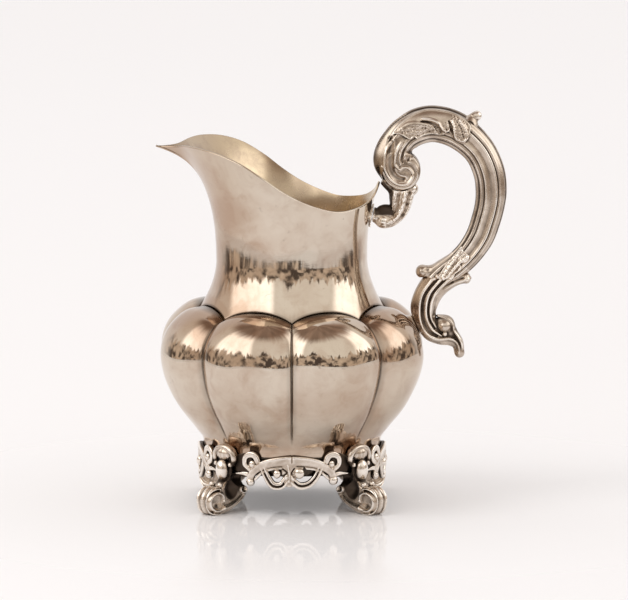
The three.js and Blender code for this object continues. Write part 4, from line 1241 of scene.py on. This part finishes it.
def floor():
    """Pale table, faintly shiny round the feet and dull further off."""
    mesh = bpy.data.meshes.new("floor")
    corners = [(x * FLOOR_HALF, y * FLOOR_HALF, 0) for x, y in ((-1, -1), (1, -1), (1, 1), (-1, 1))]
    mesh.from_pydata(corners, [], [(0, 1, 2, 3)])
    ground = new_object("floor", mesh)
    paint = Paint("pale_floor")
    place = paint.place()
    # Painted light: the table's colour grows paler towards the back, making up for the lamp's light falling
    # off there.
    back = paint.ramp(paint.node("ShaderNodeSeparateXYZ", {"Vector": place}, "Y"), -0.1, 1.2)
    pale = paint.mix(back, colour(0.92, 0.905, 0.90), colour(0.955, 0.945, 0.945))
    paint.put(pale, paint.shader.inputs["Base Color"])
    distance = paint.node("ShaderNodeVectorMath", {"Vector": place}, "Value", operation="LENGTH")
    rough = paint.scale(paint.ramp(distance, 0.09, 0.22), 0.4, 0.035)
    paint.put(rough, paint.shader.inputs["Roughness"])
    paint.shader.inputs["IOR"].default_value = 1.08
    mesh.materials.append(paint.material)


def surroundings(azimuth, elevation):
    """Light that the polished metal sees in a direction."""
    jag = 2.2 * blotches(azimuth, azimuth * 0, 3.1, 1) + 1.4 * blotches(azimuth, azimuth * 0, 1.1, 2)
    figure = hump((azimuth + 4) / 15)
    skyline = SKYLINE + 2 * jag + 10 * figure
    horizon = step_up(elevation, skyline - 1, skyline + 1)
    spots = blotches(azimuth, elevation * 0.9, 5.0, 3) + 0.6 * blotches(azimuth, elevation, 1.9, 4)
    low = 1 - step_up(elevation, -6.0, -5.2)
    patches = spots - 0.9 * figure - 0.8 * low + 0.3 * step_up(elevation, 0, 7)
    patches = step_up(patches, -0.7, 0.4) * (0.78 + 0.22 * spots)
    table_top = TABLE_EDGE + 0.14 * jag
    table = 1 - step_up(elevation, table_top, table_top + 0.4)
    windows = 1.1 * band(azimuth, *LEFT_WINDOW) + band(azimuth, *RIGHT_WINDOW)
    bars = 1 - 0.10 * (np.sin(azimuth * 0.35) > 0.8)
    ceiling = step_up(elevation, CEILING[0] + 0.8 * jag, CEILING[1] + 0.8 * jag)
    light = LIGHT_WALL + WINDOW_GLOW * (windows * bars)[..., None]
    above = CEILING_COLOUR * (1.0 + 0.25 * blotches(azimuth, elevation, 14.0, 5))[..., None]
    backdrop = np.array(BACKDROP)
    room = DIM_ROOM + ROOM_PATCHES * patches[..., None]
    layers = ((horizon, light), (ceiling, above), (table, backdrop * 0.93),
              (step_up(np.abs(azimuth), *WALL), backdrop))
    for share, tint in layers:
        room = room + (tint - room) * share[..., None]
    return room


def room_dome():
    """A dome seen only in reflections: dim room, bright windows and the pale backdrop."""
    azimuth = np.linspace(-180, 180, 721)[:-1]
    lowest = -math.degrees(math.asin(DOME_DROP / DOME_RADIUS))
    elevation = np.linspace(lowest, 89.5, 240)
    turn, lift = np.meshgrid(np.radians(azimuth), np.radians(elevation))
    across = DOME_RADIUS * np.cos(lift)
    height = LEVEL_Z + DOME_HEIGHT + DOME_RADIUS * np.sin(lift)
    points = np.stack([across * np.sin(turn), -across * np.cos(turn), height], axis=-1)
    mesh = bpy.data.meshes.new("room_dome")
    faces = grid_faces(len(elevation), len(azimuth))
    mesh.from_pydata(points.reshape(-1, 3).tolist(), [], faces.tolist())
    tint = surroundings(np.degrees(turn), np.degrees(lift)).reshape(-1, 3)
    layer = mesh.color_attributes.new("tint", "FLOAT_COLOR", "POINT")
    layer.data.foreach_set("color", np.column_stack([tint, np.ones(len(tint))]).astype(np.float32).ravel())
    dome = new_object("room_dome", mesh)
    dome.location = (AXIS_X, 0, 0)
    paint = Paint("room_dome")
    paint.tree.nodes.clear()
    stored = paint.node("ShaderNodeVertexColor", {}, layer_name="tint")
    glow = paint.node("ShaderNodeEmission", {"Color": stored, "Strength": 1.0})
    output = paint.tree.nodes.new("ShaderNodeOutputMaterial")
    paint.put(glow, output.inputs["Surface"])
    mesh.materials.append(paint.material)
    dome.visible_camera = False
    dome.visible_diffuse = False
    dome.visible_shadow = False
    dome.visible_transmission = False


def key_light():
    """Soft lamp above and in front on the spout's side, kept out of reflections."""
    data = bpy.data.lights.new("key", "AREA")
    data.size = KEY_SIZE
    data.energy = KEY_POWER
    lamp = new_object("key", data)
    lamp.location = KEY_PLACE
    aim = Vector(KEY_AIM) - Vector(KEY_PLACE)
    lamp.rotation_euler = aim.to_track_quat("-Z", "Y").to_euler()
    lamp.visible_glossy = False


def lighting():
    """An even pale world, and one lamp for the shadows."""
    world = bpy.data.worlds.new("studio")
    world.use_nodes = True
    background = world.node_tree.nodes["Background"]
    background.inputs["Color"].default_value = colour(*BACKDROP)
    background.inputs["Strength"].default_value = 1.0
    bpy.context.scene.world = world
    key_light()
    bpy.context.scene.view_settings.view_transform = "Standard"


camera()
floor()
room_dome()
lighting()
